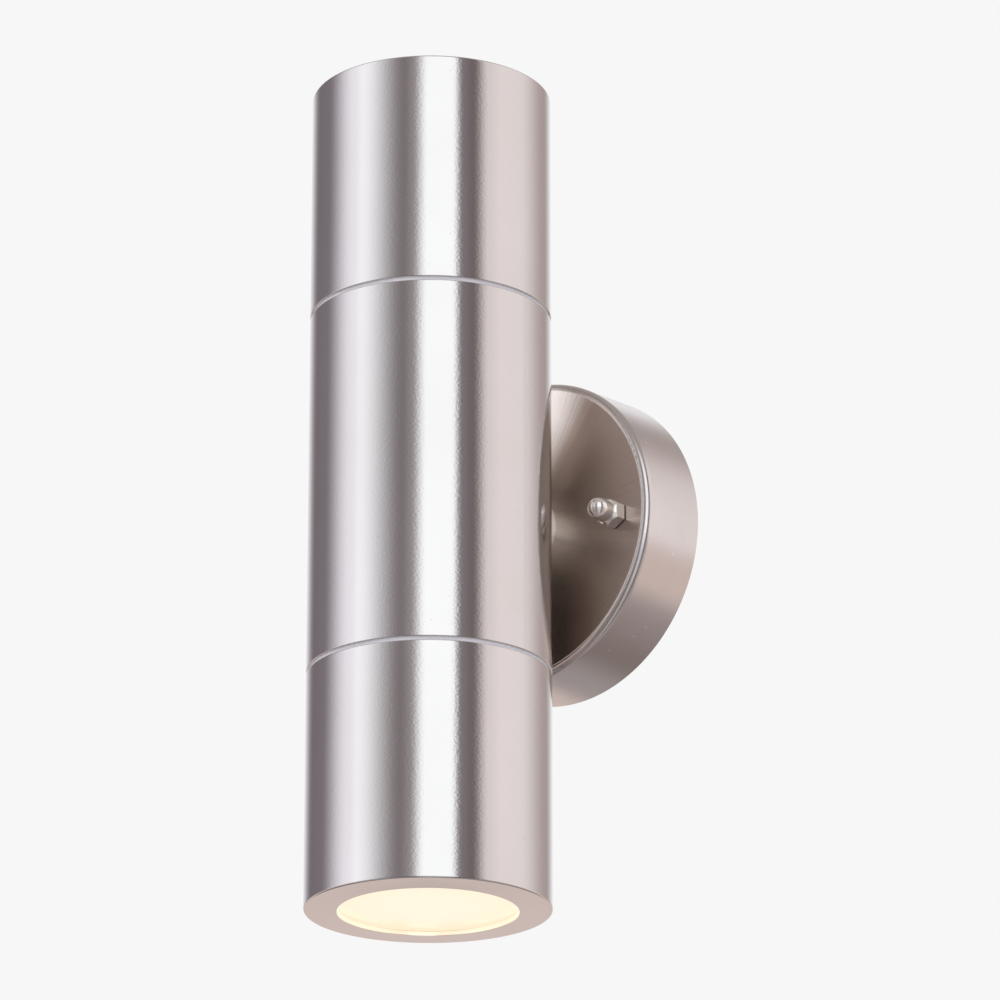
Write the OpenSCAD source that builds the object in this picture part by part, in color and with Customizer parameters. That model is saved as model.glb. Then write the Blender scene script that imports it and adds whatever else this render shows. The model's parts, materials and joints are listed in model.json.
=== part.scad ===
// Tube wall light: a steel tube in three sections with a lamp at each end, carried by a short
// stem on a round canopy. Millimetres. The origin is the middle of the canopy on the wall's
// plane, +Y points into the wall, +Z is up, and the tube stands upright in front.

/* [Tube] */
// Outside diameter of the centre tube and of both end caps
tube_od = 60; // [59:0.5:70]
// Wall of the centre tube and of the end caps
tube_wall = 1.2; // [0.9:0.1:1.4]
// Length of the centre tube
centre_len = 91.4; // [84:0.2:160]
// Length of one end cap
cap_len = 59.2; // [57.5:0.1:100]
// Height of the seam between the centre tube and an end cap
seam_gap = 1; // [0.8:0.1:2.5]
// How far the seam gasket lies behind the tube's surface
seam_recess = 0.5; // [0.2:0.1:0.9]
// Round on the outside edges at the seams
tube_edge_r = 0.2; // [0.1:0.05:0.6]

/* [Cap mouth] */
// Round between a cap's side and its end face
cap_edge_r = 0.4; // [0.2:0.05:1.2]
// Slope of the end face, from that round out to the opening, in degrees
face_slope_deg = 3; // [0:0.5:4]
// Diameter of the round opening at the end of a cap
mouth_d = 43.6; // [38:0.2:46]
// Thickness of the lip round the opening
lip_t = 1.2; // [1:0.1:2]
// Round on the edge of the opening
mouth_edge_r = 0.25; // [0.1:0.05:0.45]
// Thickness of the glass
glass_t = 4; // [3:0.5:5]
// Thickness of the glass gasket under the lip
gasket_t = 0.5; // [0.4:0.1:1]
// Width of the glass gasket's flange under the lip
gasket_flange_w = 5.5; // [3:0.5:6]
// Thickness of the gasket's skirt between the glass and the cap
gasket_skirt_t = 0.7; // [0.5:0.1:1]
// Height of the gasket's skirt along the edge of the glass
gasket_skirt_h = 3; // [2:0.5:3]
// Wire diameter of the retaining ring behind the glass
ring_wire_d = 2; // [1.6:0.1:2.4]
// Opening between the ends of the retaining ring, in degrees
ring_gap_deg = 24; // [10:1:60]

/* [Collar] */
// Length of the spigot that a cap slides over
spigot_len = 12; // [9:0.5:16]
// Wall of the collar at the spigot
collar_wall = 2.6; // [2.4:0.1:3]
// Thickness of the flange at the collar's inner end
flange_t = 2; // [1.5:0.1:3]
// Width of that flange
flange_w = 7; // [6.5:0.5:9]
// Section diameter of the cap's sealing ring
o_ring_d = 1.5; // [1.2:0.1:1.6]
// Distance of the sealing ring from the free end of the spigot
o_ring_inset = 4.5; // [3:0.5:6]

/* [Lamp] */
// Gap between the lamp's front rim and the cap round it
lamp_room = 3.8; // [2.8:0.1:8]
// Gap between the lamp's front and the retaining ring
lamp_front_gap = 4; // [1:0.5:8]
// Diameter of the lamp's neck
lamp_neck_d = 24.4; // [22:0.2:28]
// Length of the lamp's neck
lamp_neck_len = 11; // [8:0.5:16]
// Depth of the lamp's front rim
lamp_rim_len = 4; // [3.2:0.1:6]
// Thickness of the lamp's front lens
lens_t = 2.5; // [2:0.1:3]
// Width of the rim round the lens
lens_rim_w = 1.4; // [1:0.1:3]
// How far the lens lies behind the rim
lens_sink = 0.4; // [0.2:0.1:0.6]
// Distance between the two contact pins
pin_spacing = 10; // [9.5:0.1:10.5]
// Diameter of a pin's neck
pin_neck_d = 3; // [2.6:0.1:3.2]
// Length of a pin's neck below the lamp's base
pin_neck_len = 5; // [4.8:0.1:5.2]
// Diameter of a pin's head
pin_head_d = 5; // [4.6:0.1:5.2]
// Height of a pin's head
pin_head_h = 1.9; // [1.5:0.1:2]
// Depth of a pin's root inside the lamp's base
pin_root = 4; // [3:0.5:6]

/* [Lampholder] */
// Height of the lampholder
holder_h = 15; // [14:0.5:18]
// How far the lampholder's face stands past the end of the centre tube
holder_proud = 1.6; // [0.4:0.2:3]
// Gap between a pin's head and the plate that it hooks behind
hook_gap = 0.5; // [0.3:0.1:0.8]
// Wall between the contact chamber and a holder screw
holder_wall = 1.15; // [0.8:0.05:2]
// Wall between a holder screw's head and the lampholder's side
holder_rim = 1.2; // [0.8:0.1:2]
// Turn that locks the lamp, in degrees
twist_deg = 30; // [20:1:40]
// Height of a contact block in the chamber
contact_h = 2.7; // [1.6:0.1:3]
// How much narrower a contact block is than a pin's head
contact_inset = 0.2; // [0:0.1:1]

/* [Holder bridge] */
// Width of the strip that carries the lampholder
bridge_w = 16; // [14:0.5:22]
// Thickness of that strip
bridge_t = 1.5; // [1.2:0.1:2]
// Gap between a bridge screw's head and the collar round it
bridge_screw_gap = 0.3; // [0.2:0.1:1.4]

/* [Stem] */
// Diameter of the stem between the tube and the canopy
stem_d = 20; // [19:0.5:28]
// Gap between the tube and the canopy's face, which the stem fills
stem_gap = 6.5; // [4:0.5:30]
// Diameter of the hollow threaded nipple
nipple_d = 10; // [9.6:0.1:10.4]
// Bore of the nipple, where the leads pass
nipple_bore = 8; // [7.5:0.1:8.2]
// How far the nipple stands out past each nut
nipple_proud = 2; // [1:0.5:3]
// Thickness of the saddle washer inside the tube, at its middle
saddle_t = 3.2; // [2.6:0.1:4]
// Diameter of the saddle washer
saddle_d = 18; // [16:0.5:20]
// Width of the stem's end face outside its seal
seal_land = 1.6; // [1:0.1:2.4]
// Gap between the nipple and the seal round it
seal_bore_gap = 1.4; // [0.8:0.1:1.6]
// Thickness of the stem's seal
seal_t = 1.2; // [1:0.1:2]

/* [Canopy] */
// Diameter of the canopy at the wall
canopy_od = 80; // [78:1:100]
// How much the canopy's radius grows from its rounded front edge to the wall
canopy_flare_w = 0.5; // [0:0.1:1]
// Distance from the wall to the canopy's face
canopy_depth = 20; // [19:0.5:30]
// Wall of the canopy
canopy_wall = 1.2; // [0.8:0.1:1.5]
// Round on the canopy's front edge
canopy_edge_r = 1.9; // [1.6:0.1:4]
// Gap between the canopy's rim and the wall
rim_gap = 0.6; // [0.3:0.1:1]
// Width of the foam gasket inside the rim
wall_gasket_w = 2.3; // [2:0.1:2.6]
// Thickness of that gasket
wall_gasket_t = 3; // [2:0.5:4]

/* [Wall bracket] */
// Width of the bar
bar_w = 16; // [15:0.5:20]
// Thickness of the bar
bar_t = 2; // [1.6:0.1:2.5]
// Gap between the ends of the bar and the wall gasket
bar_end_gap = 0.6; // [0.3:0.1:1]
// Distance from the canopy's edge to each of the two studs that hold it
stud_inset = 10.9; // [10.5:0.1:12]
// How far the studs lie below the middle of the bar
stud_drop = 1.5; // [0:0.1:3]
// Diameter of a stud
stud_d = 3.5; // [3:0.1:4]
// Diameter of a stud's head, which is let into the bar
stud_head_d = 5.6; // [5:0.1:6.4]
// Thickness of a stud's head
stud_head_t = 1; // [0.8:0.1:1.2]
// Distance from a stud to the middle of the wall screw slot beside it
slot_inset = 10.6; // [9.5:0.1:12]
// Width of a wall screw slot
slot_w = 5; // [4:0.1:5.5]
// Length of a wall screw slot from end to end
slot_len = 11; // [8:0.5:11.5]
// Diameter of the hole that holds the cable grommet
cable_hole_d = 11; // [10:0.2:12]
// Bore of the cable grommet
cable_bore_d = 7; // [5:0.5:8]
// Width of the grommet's flange
grommet_flange_w = 1.2; // [1:0.1:1.5]
// Thickness of the grommet's flange
grommet_flange_t = 1; // [0.8:0.1:1.2]

/* [Nuts and screws] */
// Width across the flats of the small nuts
small_nut_af = 6.4; // [6:0.1:7]
// Height of a dome nut's hexagon
dome_hex_h = 3.4; // [3:0.1:4]
// Diameter of a dome nut's dome
dome_d = 5.5; // [5.2:0.1:5.9]
// Height of a whole dome nut
dome_nut_h = 9; // [8.4:0.1:11]
// Thickness of the seal under a dome nut
nut_seal_t = 0.3; // [0.2:0.1:1]
// Height of the thin nut on each stud
stud_nut_h = 2.2; // [1.8:0.1:3]
// Width across the flats of the nipple's nuts
nipple_nut_af = 14; // [13.5:0.1:15]
// Height of the nipple's nuts
nipple_nut_h = 3; // [2.5:0.1:3.5]
// Diameter of the toothed washer
toothed_d = 16; // [15:0.5:18]
// Thickness of the toothed washer and of the earth tag
tag_t = 0.8; // [0.6:0.1:1]
// Diameter of the small screws
screw_d = 3; // [2.6:0.1:3.2]
// Diameter of the small screws' heads
screw_head_d = 5.5; // [5:0.1:5.7]
// Height of the small screws' heads
screw_head_h = 2; // [1.6:0.1:2.2]
// Length of a bridge screw below its head
bridge_screw_len = 6; // [4:0.5:8]

/* [Wiring] */
// Diameter of an insulated lead
lead_d = 1.8; // [1.4:0.1:1.9]
// Play round the two leads in a pole
lead_play = 0.11; // [0.05:0.01:0.2]
// Wall of the block between a pole's tube and a fixing screw
block_wall = 0.5; // [0.4:0.1:1]
// Height of the terminal block above the bracket
block_h = 10; // [9.5:0.1:11]
// Length of the terminal block along its poles
block_len = 14; // [12:0.5:15]
// Wall of the brass tube in a pole
pole_tube_wall = 0.5; // [0.4:0.1:0.7]
// Length of that tube
pole_tube_len = 12; // [10:0.5:12]

/* [Fits] */
// Gap between a cap and the spigot that it slides over
slide_gap = 0.3; // [0.2:0.05:0.4]
// Gap between the sealing ring and the cap
seal_gap = 0.08; // [0.02:0.02:0.1]
// Gap round pieces that are pressed, screwed or glued in
seat_gap = 0.05; // [0.02:0.01:0.1]
// Gap round the lamp's pins and under its base, so that the lamp can turn
turn_gap = 0.3; // [0.2:0.05:0.4]

/* [Hidden] */
$fn = 96;

// Overrun of every cut past the surface that it opens
cut_over = 1;

// Radii and heights along the tube, counted from its middle and from its axis
tube_r = tube_od / 2;
bore_r = tube_r - tube_wall;
tube_end = centre_len / 2;
cap_start = tube_end + seam_gap;
cap_end = cap_start + cap_len;
tube_axis_y = -(canopy_depth + stem_gap + tube_r);

// Glass, its gasket and the retaining ring, from the lip inwards
gasket_r = bore_r - seat_gap;
glass_r = gasket_r - gasket_skirt_t - seat_gap;
gasket_front = cap_end - lip_t;
glass_front = gasket_front - gasket_t;
glass_back = glass_front - glass_t;
ring_r = bore_r - seat_gap - ring_wire_d / 2;

// Lampholder, bridge and collar, from the lampholder's face inwards
holder_face = tube_end + holder_proud;
holder_back = holder_face - holder_h;
bridge_back = holder_back - bridge_t;
collar_back = bridge_back - flange_t;
spigot_r = bore_r - slide_gap;
collar_ir = spigot_r - collar_wall;
spigot_end = tube_end + spigot_len;
o_ring_z = spigot_end - o_ring_inset;
o_ring_r = bore_r - seal_gap - o_ring_d / 2;
groove_floor_r = o_ring_r - o_ring_d / 2;
bridge_half = collar_ir - seat_gap;
bridge_screw_x = collar_ir - bridge_screw_gap - screw_head_d / 2;
pin_r = pin_spacing / 2;
chamber_r = pin_r + pin_head_d / 2 + 2 * turn_gap;
contact_w = pin_head_d - contact_inset;
contact_corner_r = chamber_r - turn_gap;
contact_reach = pin_r + contact_w / 2;
contact_len = 2 * sqrt(contact_corner_r * contact_corner_r - contact_reach * contact_reach);
holder_plate_t = pin_neck_len - turn_gap - hook_gap;
chamber_h = hook_gap + pin_head_h + turn_gap + contact_h;
chamber_floor = holder_face - holder_plate_t - chamber_h;
holder_screw_x = chamber_r + screw_d / 2 + seat_gap + holder_wall;
holder_r = holder_screw_x + screw_head_d / 2 + seat_gap + holder_rim;
head_sink = screw_head_h + turn_gap;
lead_hole_r = lead_d / 2 + turn_gap;
lamp_base = holder_face + turn_gap;
lamp_front = glass_back - ring_wire_d - lamp_front_gap;
lamp_r = bore_r - lamp_room;

// Stem and canopy, as distances from the wall along -Y
tube_back_y = tube_axis_y + tube_r;
canopy_inner_y = -(canopy_depth - canopy_wall);
saddle_flat_y = tube_axis_y + bore_r - saddle_t;
nipple_front_y = saddle_flat_y - nipple_nut_h - nipple_proud;
tag_y = canopy_inner_y + tag_t;
rear_nut_y = tag_y + tag_t;
nipple_rear_y = rear_nut_y + nipple_nut_h + nipple_proud;
nipple_r = nipple_d / 2;
seal_r = stem_d / 2 - seal_land;
canopy_r = canopy_od / 2;
stud_x = canopy_r - stud_inset;
slot_x = stud_x - slot_inset;
canopy_slope = canopy_flare_w / (canopy_depth - canopy_edge_r - rim_gap);
wall_gasket_r = canopy_r - canopy_wall - (wall_gasket_t - rim_gap) * canopy_slope - seat_gap;
bar_end_r = wall_gasket_r - wall_gasket_w - bar_end_gap;
nut_base_y = -(canopy_depth + nut_seal_t);
thread_share = 0.25;
stud_depth = dome_hex_h + dome_d * thread_share;
chamfer_share = 0.12;

// Terminal block on the bracket's tongue, counted from the wall
pole_height_share = 0.45;
lay_share = 0.55;
pole_tube_bore_r = lead_d * lay_share + lead_d / 2 + lead_play;
pole_tube_r = pole_tube_bore_r + pole_tube_wall;
pole_pitch = 2 * pole_tube_r + screw_d + 2 * block_wall;
block_w = 3 * pole_pitch;
grommet_r = cable_hole_d / 2 - seat_gap;
bracket_top_z = sqrt(bar_end_r * bar_end_r - block_w * block_w / 4);
block_z = (grommet_r + grommet_flange_w + bracket_top_z - block_len) / 2;
block_top_y = -(bar_t + block_h);
pole_y = -(bar_t + block_h * pole_height_share);
tongue_margin = 1;
block_screw_x = pole_pitch / 2;
clamp_z_shares = [0.25, 0.75];
earth_screw_z = block_z - screw_head_d / 2 - turn_gap;

module tube_frame() translate([0, tube_axis_y, 0]) children();
module upper() tube_frame() children();
module lower() tube_frame() rotate([180, 0, 0]) children();
module toward_room() rotate([90, 0, 0]) children();
module both_x(x) for (side = [-1, 1]) translate([side * x, 0, 0]) children();

module ring(outer_r, inner_r, height) {
    difference() {
        cylinder(r = outer_r, h = height);
        translate([0, 0, -cut_over]) cylinder(r = inner_r, h = height + 2 * cut_over);
    }
}

// Takes a round of radius r off the outer corner of a profile at the point [x, y]
module corner_cut(x, y, r, up) {
    translate([x - r, y - up * r]) difference() {
        translate([0, up > 0 ? 0 : -(r + cut_over)]) square(r + cut_over);
        circle(r = r);
    }
}

module hexagon(flats, height) cylinder(d = flats / cos(30), h = height, $fn = 6);

module chamfered_hexagon(flats, height) {
    cham = flats * chamfer_share;
    corner_r = flats / cos(30) / 2;
    intersection() {
        rotate([0, 0, 30]) hexagon(flats, height);
        union() {
            cylinder(r = corner_r, h = height - cham);
            translate([0, 0, height - cham]) cylinder(r1 = corner_r, r2 = corner_r - cham, h = cham);
        }
    }
}

module small_screw(length) {
    difference() {
        cylinder(d = screw_head_d, h = screw_head_h);
        slot_size = screw_head_h / 3;
        translate([-screw_head_d / 2 - cut_over, -slot_size / 2, screw_head_h - slot_size])
            cube([screw_head_d + 2 * cut_over, slot_size, slot_size + cut_over]);
    }
    translate([0, 0, -length]) cylinder(d = screw_d, h = length);
}

// Centre section and end caps

module centre_tube() {
    color([0.80, 0.78, 0.76]) tube_frame() difference() {
        rotate_extrude() difference() {
            translate([bore_r, -tube_end]) square([tube_wall, centre_len]);
            corner_cut(tube_r, tube_end, tube_edge_r, 1);
            corner_cut(tube_r, -tube_end, tube_edge_r, -1);
        }
        rotate([-90, 0, 0]) cylinder(r = nipple_r + seat_gap, h = tube_r + cut_over);
    }
}

module end_cap() {
    mouth_r = mouth_d / 2;
    edge_x = tube_r - cap_edge_r;
    face_x = edge_x + cap_edge_r * sin(face_slope_deg);
    face_y = cap_end - (face_x - mouth_r) * tan(face_slope_deg);
    edge_y = face_y - cap_edge_r * cos(face_slope_deg);
    rotate_extrude() difference() {
        union() {
            polygon([[0, cap_start], [tube_r, cap_start], [tube_r, edge_y], [face_x, face_y],
                     [mouth_r, cap_end], [0, cap_end]]);
            translate([edge_x, edge_y]) circle(r = cap_edge_r);
        }
        translate([0, cap_start - cut_over]) square([bore_r, cap_len - lip_t + cut_over]);
        translate([0, cap_start]) square([mouth_r, cap_len + cut_over]);
        corner_cut(tube_r, cap_start, tube_edge_r, -1);
        mirror([1, 0]) corner_cut(-mouth_r, cap_end, mouth_edge_r, 1);
    }
}
module upper_cap() color([0.80, 0.78, 0.76]) upper() end_cap();
module lower_cap() color([0.80, 0.78, 0.76]) lower() end_cap();

module glass_gasket() {
    flange_ir = gasket_r - gasket_flange_w;
    translate([0, 0, glass_front]) ring(gasket_r, flange_ir, gasket_t);
    translate([0, 0, glass_front - gasket_skirt_h])
        ring(gasket_r, glass_r + seat_gap, gasket_skirt_h);
}
module upper_glass_gasket() color([0.75, 0.74, 0.72]) upper() glass_gasket();
module lower_glass_gasket() color([0.75, 0.74, 0.72]) lower() glass_gasket();

module glass() translate([0, 0, glass_back]) cylinder(r = glass_r, h = glass_t);
module upper_glass() color([1.0, 0.96, 0.85]) upper() glass();
module lower_glass() color([1.0, 0.96, 0.85]) lower() glass();

module retaining_ring() {
    translate([0, 0, glass_back - ring_wire_d / 2]) rotate([0, 0, 90 + ring_gap_deg / 2])
        rotate_extrude(angle = 360 - ring_gap_deg)
            translate([ring_r, 0]) circle(d = ring_wire_d, $fn = 24);
}
module upper_retaining_ring() color([0.55, 0.55, 0.56]) upper() retaining_ring();
module lower_retaining_ring() color([0.55, 0.55, 0.56]) lower() retaining_ring();

// Collars that join the caps to the centre tube, with their seals

module collar() {
    difference() {
        union() {
            translate([0, 0, collar_back])
                cylinder(r = bore_r - seat_gap, h = tube_end - collar_back);
            translate([0, 0, tube_end]) cylinder(r = spigot_r, h = spigot_len);
        }
        translate([0, 0, collar_back + flange_t])
            cylinder(r = collar_ir, h = spigot_end - collar_back);
        translate([0, 0, collar_back - cut_over])
            cylinder(r = collar_ir - flange_w, h = flange_t + 2 * cut_over);
        translate([0, 0, o_ring_z - o_ring_d / 2 - seat_gap])
            ring(tube_r, groove_floor_r, o_ring_d + 2 * seat_gap);
        both_x(bridge_screw_x) translate([0, 0, collar_back - cut_over])
            cylinder(r = screw_d / 2 + seat_gap, h = flange_t + 2 * cut_over);
    }
}
module upper_collar() color([0.70, 0.71, 0.72]) upper() collar();
module lower_collar() color([0.70, 0.71, 0.72]) lower() collar();

module seam_gasket() {
    translate([0, 0, tube_end]) ring(tube_r - seam_recess, spigot_r + seat_gap, seam_gap);
}
module upper_seam_gasket() color([0.86, 0.87, 0.88]) upper() seam_gasket();
module lower_seam_gasket() color([0.86, 0.87, 0.88]) lower() seam_gasket();

module o_ring() {
    translate([0, 0, o_ring_z]) rotate_extrude()
        translate([o_ring_r, 0]) circle(d = o_ring_d, $fn = 24);
}
module upper_o_ring() color([0.12, 0.12, 0.12]) upper() o_ring();
module lower_o_ring() color([0.12, 0.12, 0.12]) lower() o_ring();

// Bridge and lampholder

module bridge() {
    difference() {
        intersection() {
            translate([-bridge_half, -bridge_w / 2, bridge_back])
                cube([2 * bridge_half, bridge_w, bridge_t]);
            translate([0, 0, bridge_back]) cylinder(r = bridge_half, h = bridge_t);
        }
        translate([0, 0, bridge_back - cut_over]) {
            both_x(bridge_screw_x) cylinder(r = screw_d / 2 + seat_gap, h = bridge_t + 2 * cut_over);
            both_x(holder_screw_x)
                cylinder(r = screw_d / 2 + seat_gap, h = bridge_t + 2 * cut_over);
            both_x(pin_r) cylinder(r = lead_hole_r + turn_gap, h = bridge_t + 2 * cut_over);
        }
    }
}
module upper_bridge() color([0.62, 0.62, 0.60]) upper() bridge();
module lower_bridge() color([0.62, 0.62, 0.60]) lower() bridge();

module bridge_screw_pair() {
    both_x(bridge_screw_x) translate([0, 0, holder_back]) small_screw(bridge_screw_len);
}
module bridge_screws() {
    color([0.72, 0.72, 0.70]) {
        upper() bridge_screw_pair();
        lower() bridge_screw_pair();
    }
}

// One bayonet slot: an entry hole for the pin's head and an arc for its neck
module bayonet_slot(depth) {
    slot_half = pin_neck_d / 2 + turn_gap;
    translate([pin_r, 0, 0]) cylinder(r = slot_half, h = depth);
    rotate_extrude(angle = twist_deg)
        translate([pin_r - slot_half, 0]) square([2 * slot_half, depth]);
    rotate([0, 0, twist_deg]) translate([pin_r, 0, 0])
        cylinder(r = pin_head_d / 2 + turn_gap, h = depth);
}

module lampholder() {
    difference() {
        translate([0, 0, holder_back]) cylinder(r = holder_r, h = holder_h);
        for (turn = [0, 180]) rotate([0, 0, turn])
            translate([0, 0, holder_face - holder_plate_t - turn_gap])
                bayonet_slot(holder_plate_t + turn_gap + cut_over);
        translate([0, 0, chamber_floor]) cylinder(r = chamber_r, h = chamber_h);
        both_x(pin_r) translate([0, 0, holder_back - cut_over])
            cylinder(r = lead_hole_r, h = chamber_floor - holder_back + 2 * cut_over);
        both_x(holder_screw_x) {
            translate([0, 0, holder_back - cut_over])
                cylinder(r = screw_d / 2 + seat_gap, h = holder_h + 2 * cut_over);
            translate([0, 0, holder_face - head_sink])
                cylinder(r = screw_head_d / 2 + seat_gap, h = head_sink + cut_over);
        }
    }
}
module upper_lampholder() color([0.93, 0.92, 0.88]) upper() lampholder();
module lower_lampholder() color([0.93, 0.92, 0.88]) lower() lampholder();

module holder_screw_pair() {
    both_x(holder_screw_x) translate([0, 0, holder_face - head_sink])
        small_screw(holder_h + bridge_t - head_sink);
}
module holder_screws() {
    color([0.72, 0.72, 0.70]) {
        upper() holder_screw_pair();
        lower() holder_screw_pair();
    }
}

module contacts() {
    both_x(pin_r) translate([-contact_w / 2, -contact_len / 2, chamber_floor])
        cube([contact_w, contact_len, contact_h]);
}
module upper_contacts() color([0.80, 0.68, 0.35]) upper() contacts();
module lower_contacts() color([0.80, 0.68, 0.35]) lower() contacts();

// Lamp

lamp_curve_steps = 8;
function lamp_curve() = let (
        neck_r = lamp_neck_d / 2,
        low = lamp_base + lamp_neck_len,
        high = lamp_front - lamp_rim_len
    ) [for (i = [0 : lamp_curve_steps]) let (turn = 90 * i / lamp_curve_steps)
        [neck_r + (lamp_r - neck_r) * sin(turn), low + (high - low) * (1 - cos(turn))]];

module lamp_body() {
    lens_seat_r = lamp_r - lens_rim_w;
    difference() {
        rotate_extrude() polygon(concat(
            [[0, lamp_base], [lamp_neck_d / 2, lamp_base]],
            lamp_curve(),
            [[lamp_r, lamp_front], [0, lamp_front]]));
        translate([0, 0, lamp_front - lens_sink - lens_t])
            cylinder(r = lens_seat_r, h = lens_t + lens_sink + cut_over);
        both_x(pin_r) translate([0, 0, lamp_base - cut_over])
            cylinder(r = pin_neck_d / 2 + seat_gap, h = pin_root + cut_over);
    }
}
module upper_lamp_body() color([0.90, 0.90, 0.89]) upper() lamp_body();
module lower_lamp_body() color([0.90, 0.90, 0.89]) lower() lamp_body();

module lamp_lens() {
    translate([0, 0, lamp_front - lens_sink - lens_t])
        cylinder(r = lamp_r - lens_rim_w - seat_gap, h = lens_t);
}
module upper_lamp_lens() color([1.0, 0.95, 0.80]) upper() lamp_lens();
module lower_lamp_lens() color([1.0, 0.95, 0.80]) lower() lamp_lens();

module lamp_pins() {
    both_x(pin_r) {
        translate([0, 0, lamp_base - pin_neck_len])
            cylinder(d = pin_neck_d, h = pin_neck_len + pin_root);
        translate([0, 0, lamp_base - pin_neck_len - pin_head_h])
            cylinder(d = pin_head_d, h = pin_head_h);
    }
}
module upper_lamp_pins() color([0.78, 0.76, 0.70]) upper() lamp_pins();
module lower_lamp_pins() color([0.78, 0.76, 0.70]) lower() lamp_pins();

// Stem, nipple and what clamps them

module stem() {
    saddle_reach = tube_r - sqrt(tube_r * tube_r - stem_d * stem_d / 4);
    color([0.84, 0.82, 0.80]) difference() {
        translate([0, -canopy_depth, 0]) toward_room()
            cylinder(d = stem_d, h = stem_gap + saddle_reach);
        tube_frame() translate([0, 0, -stem_d])
            cylinder(r = tube_r + seat_gap, h = 2 * stem_d);
        translate([0, -canopy_depth + cut_over, 0]) toward_room()
            cylinder(r = nipple_r + seat_gap, h = stem_gap + saddle_reach + 2 * cut_over);
        translate([0, -canopy_depth + cut_over, 0]) toward_room()
            cylinder(r = seal_r + seat_gap, h = seal_t + cut_over);
    }
}

module stem_seal() {
    color([0.20, 0.20, 0.20]) translate([0, -canopy_depth, 0]) toward_room()
        ring(seal_r, nipple_r + seal_bore_gap, seal_t);
}

module nipple() {
    color([0.75, 0.70, 0.55]) translate([0, nipple_rear_y, 0]) toward_room()
        ring(nipple_r, nipple_bore / 2, nipple_rear_y - nipple_front_y);
}

module nipple_nut() {
    difference() {
        chamfered_hexagon(nipple_nut_af, nipple_nut_h);
        translate([0, 0, -cut_over]) cylinder(r = nipple_r + seat_gap, h = nipple_nut_h + 2 * cut_over);
    }
}
module nipple_nuts() {
    color([0.75, 0.70, 0.55]) {
        translate([0, saddle_flat_y, 0]) toward_room() nipple_nut();
        translate([0, rear_nut_y, 0]) rotate([-90, 0, 0]) nipple_nut();
    }
}

module saddle_washer() {
    color([0.70, 0.70, 0.70]) difference() {
        intersection() {
            translate([0, tube_back_y, 0]) toward_room()
                cylinder(d = saddle_d, h = tube_back_y - saddle_flat_y);
            tube_frame() translate([0, 0, -saddle_d])
                cylinder(r = bore_r - seat_gap, h = 2 * saddle_d);
        }
        translate([0, tube_back_y + cut_over, 0]) toward_room()
            cylinder(r = nipple_r + seat_gap, h = tube_back_y - saddle_flat_y + 2 * cut_over);
    }
}

tooth_count = 12;
tooth_share = 0.35;
module toothed_washer() {
    tooth_r = toothed_d * PI / tooth_count * tooth_share / 2;
    color([0.60, 0.60, 0.62]) translate([0, tag_y, 0]) toward_room() difference() {
        ring(toothed_d / 2, nipple_r + seat_gap, tag_t);
        for (i = [0 : tooth_count - 1]) rotate([0, 0, 360 * i / tooth_count])
            translate([toothed_d / 2, 0, -cut_over])
                cylinder(r = tooth_r, h = tag_t + 2 * cut_over, $fn = 24);
    }
}

tag_w = 4;
tag_reach = 14;
module earth_tag() {
    color([0.80, 0.80, 0.78]) translate([0, rear_nut_y, 0]) toward_room() difference() {
        union() {
            cylinder(d = toothed_d, h = tag_t);
            translate([0, -tag_w / 2, 0]) cube([tag_reach, tag_w, tag_t]);
        }
        translate([0, 0, -cut_over]) cylinder(r = nipple_r + seat_gap, h = tag_t + 2 * cut_over);
    }
}

// Canopy and its fixings

module canopy_shell(inset, rim) {
    front_r = canopy_r - canopy_flare_w;
    edge_x = front_r - canopy_edge_r;
    edge_y = canopy_depth - canopy_edge_r;
    polygon([[0, rim], [canopy_r - inset, rim], [front_r - inset, edge_y],
             [edge_x, canopy_depth - inset], [0, canopy_depth - inset]]);
    translate([edge_x, edge_y]) circle(r = canopy_edge_r - inset);
}

module canopy() {
    color([0.62, 0.58, 0.55]) difference() {
        toward_room() rotate_extrude() difference() {
            canopy_shell(0, rim_gap);
            canopy_shell(canopy_wall, rim_gap - cut_over);
            translate([-canopy_r, 0]) square([canopy_r, canopy_depth + cut_over]);
        }
        translate([0, canopy_inner_y + cut_over, 0]) toward_room()
            cylinder(r = nipple_r + seat_gap, h = canopy_wall + 2 * cut_over);
        both_x(stud_x) translate([0, canopy_inner_y + cut_over, -stud_drop]) toward_room()
            cylinder(r = stud_d / 2 + turn_gap, h = canopy_wall + 2 * cut_over);
    }
}

module wall_gasket() {
    color([0.15, 0.15, 0.15]) toward_room()
        ring(wall_gasket_r, wall_gasket_r - wall_gasket_w, wall_gasket_t);
}

module slot_cut(length, width, height) {
    both_x((length - width) / 2) cylinder(d = width, h = height);
    translate([-(length - width) / 2, -width / 2, 0]) cube([length - width, width, height]);
}

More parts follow.
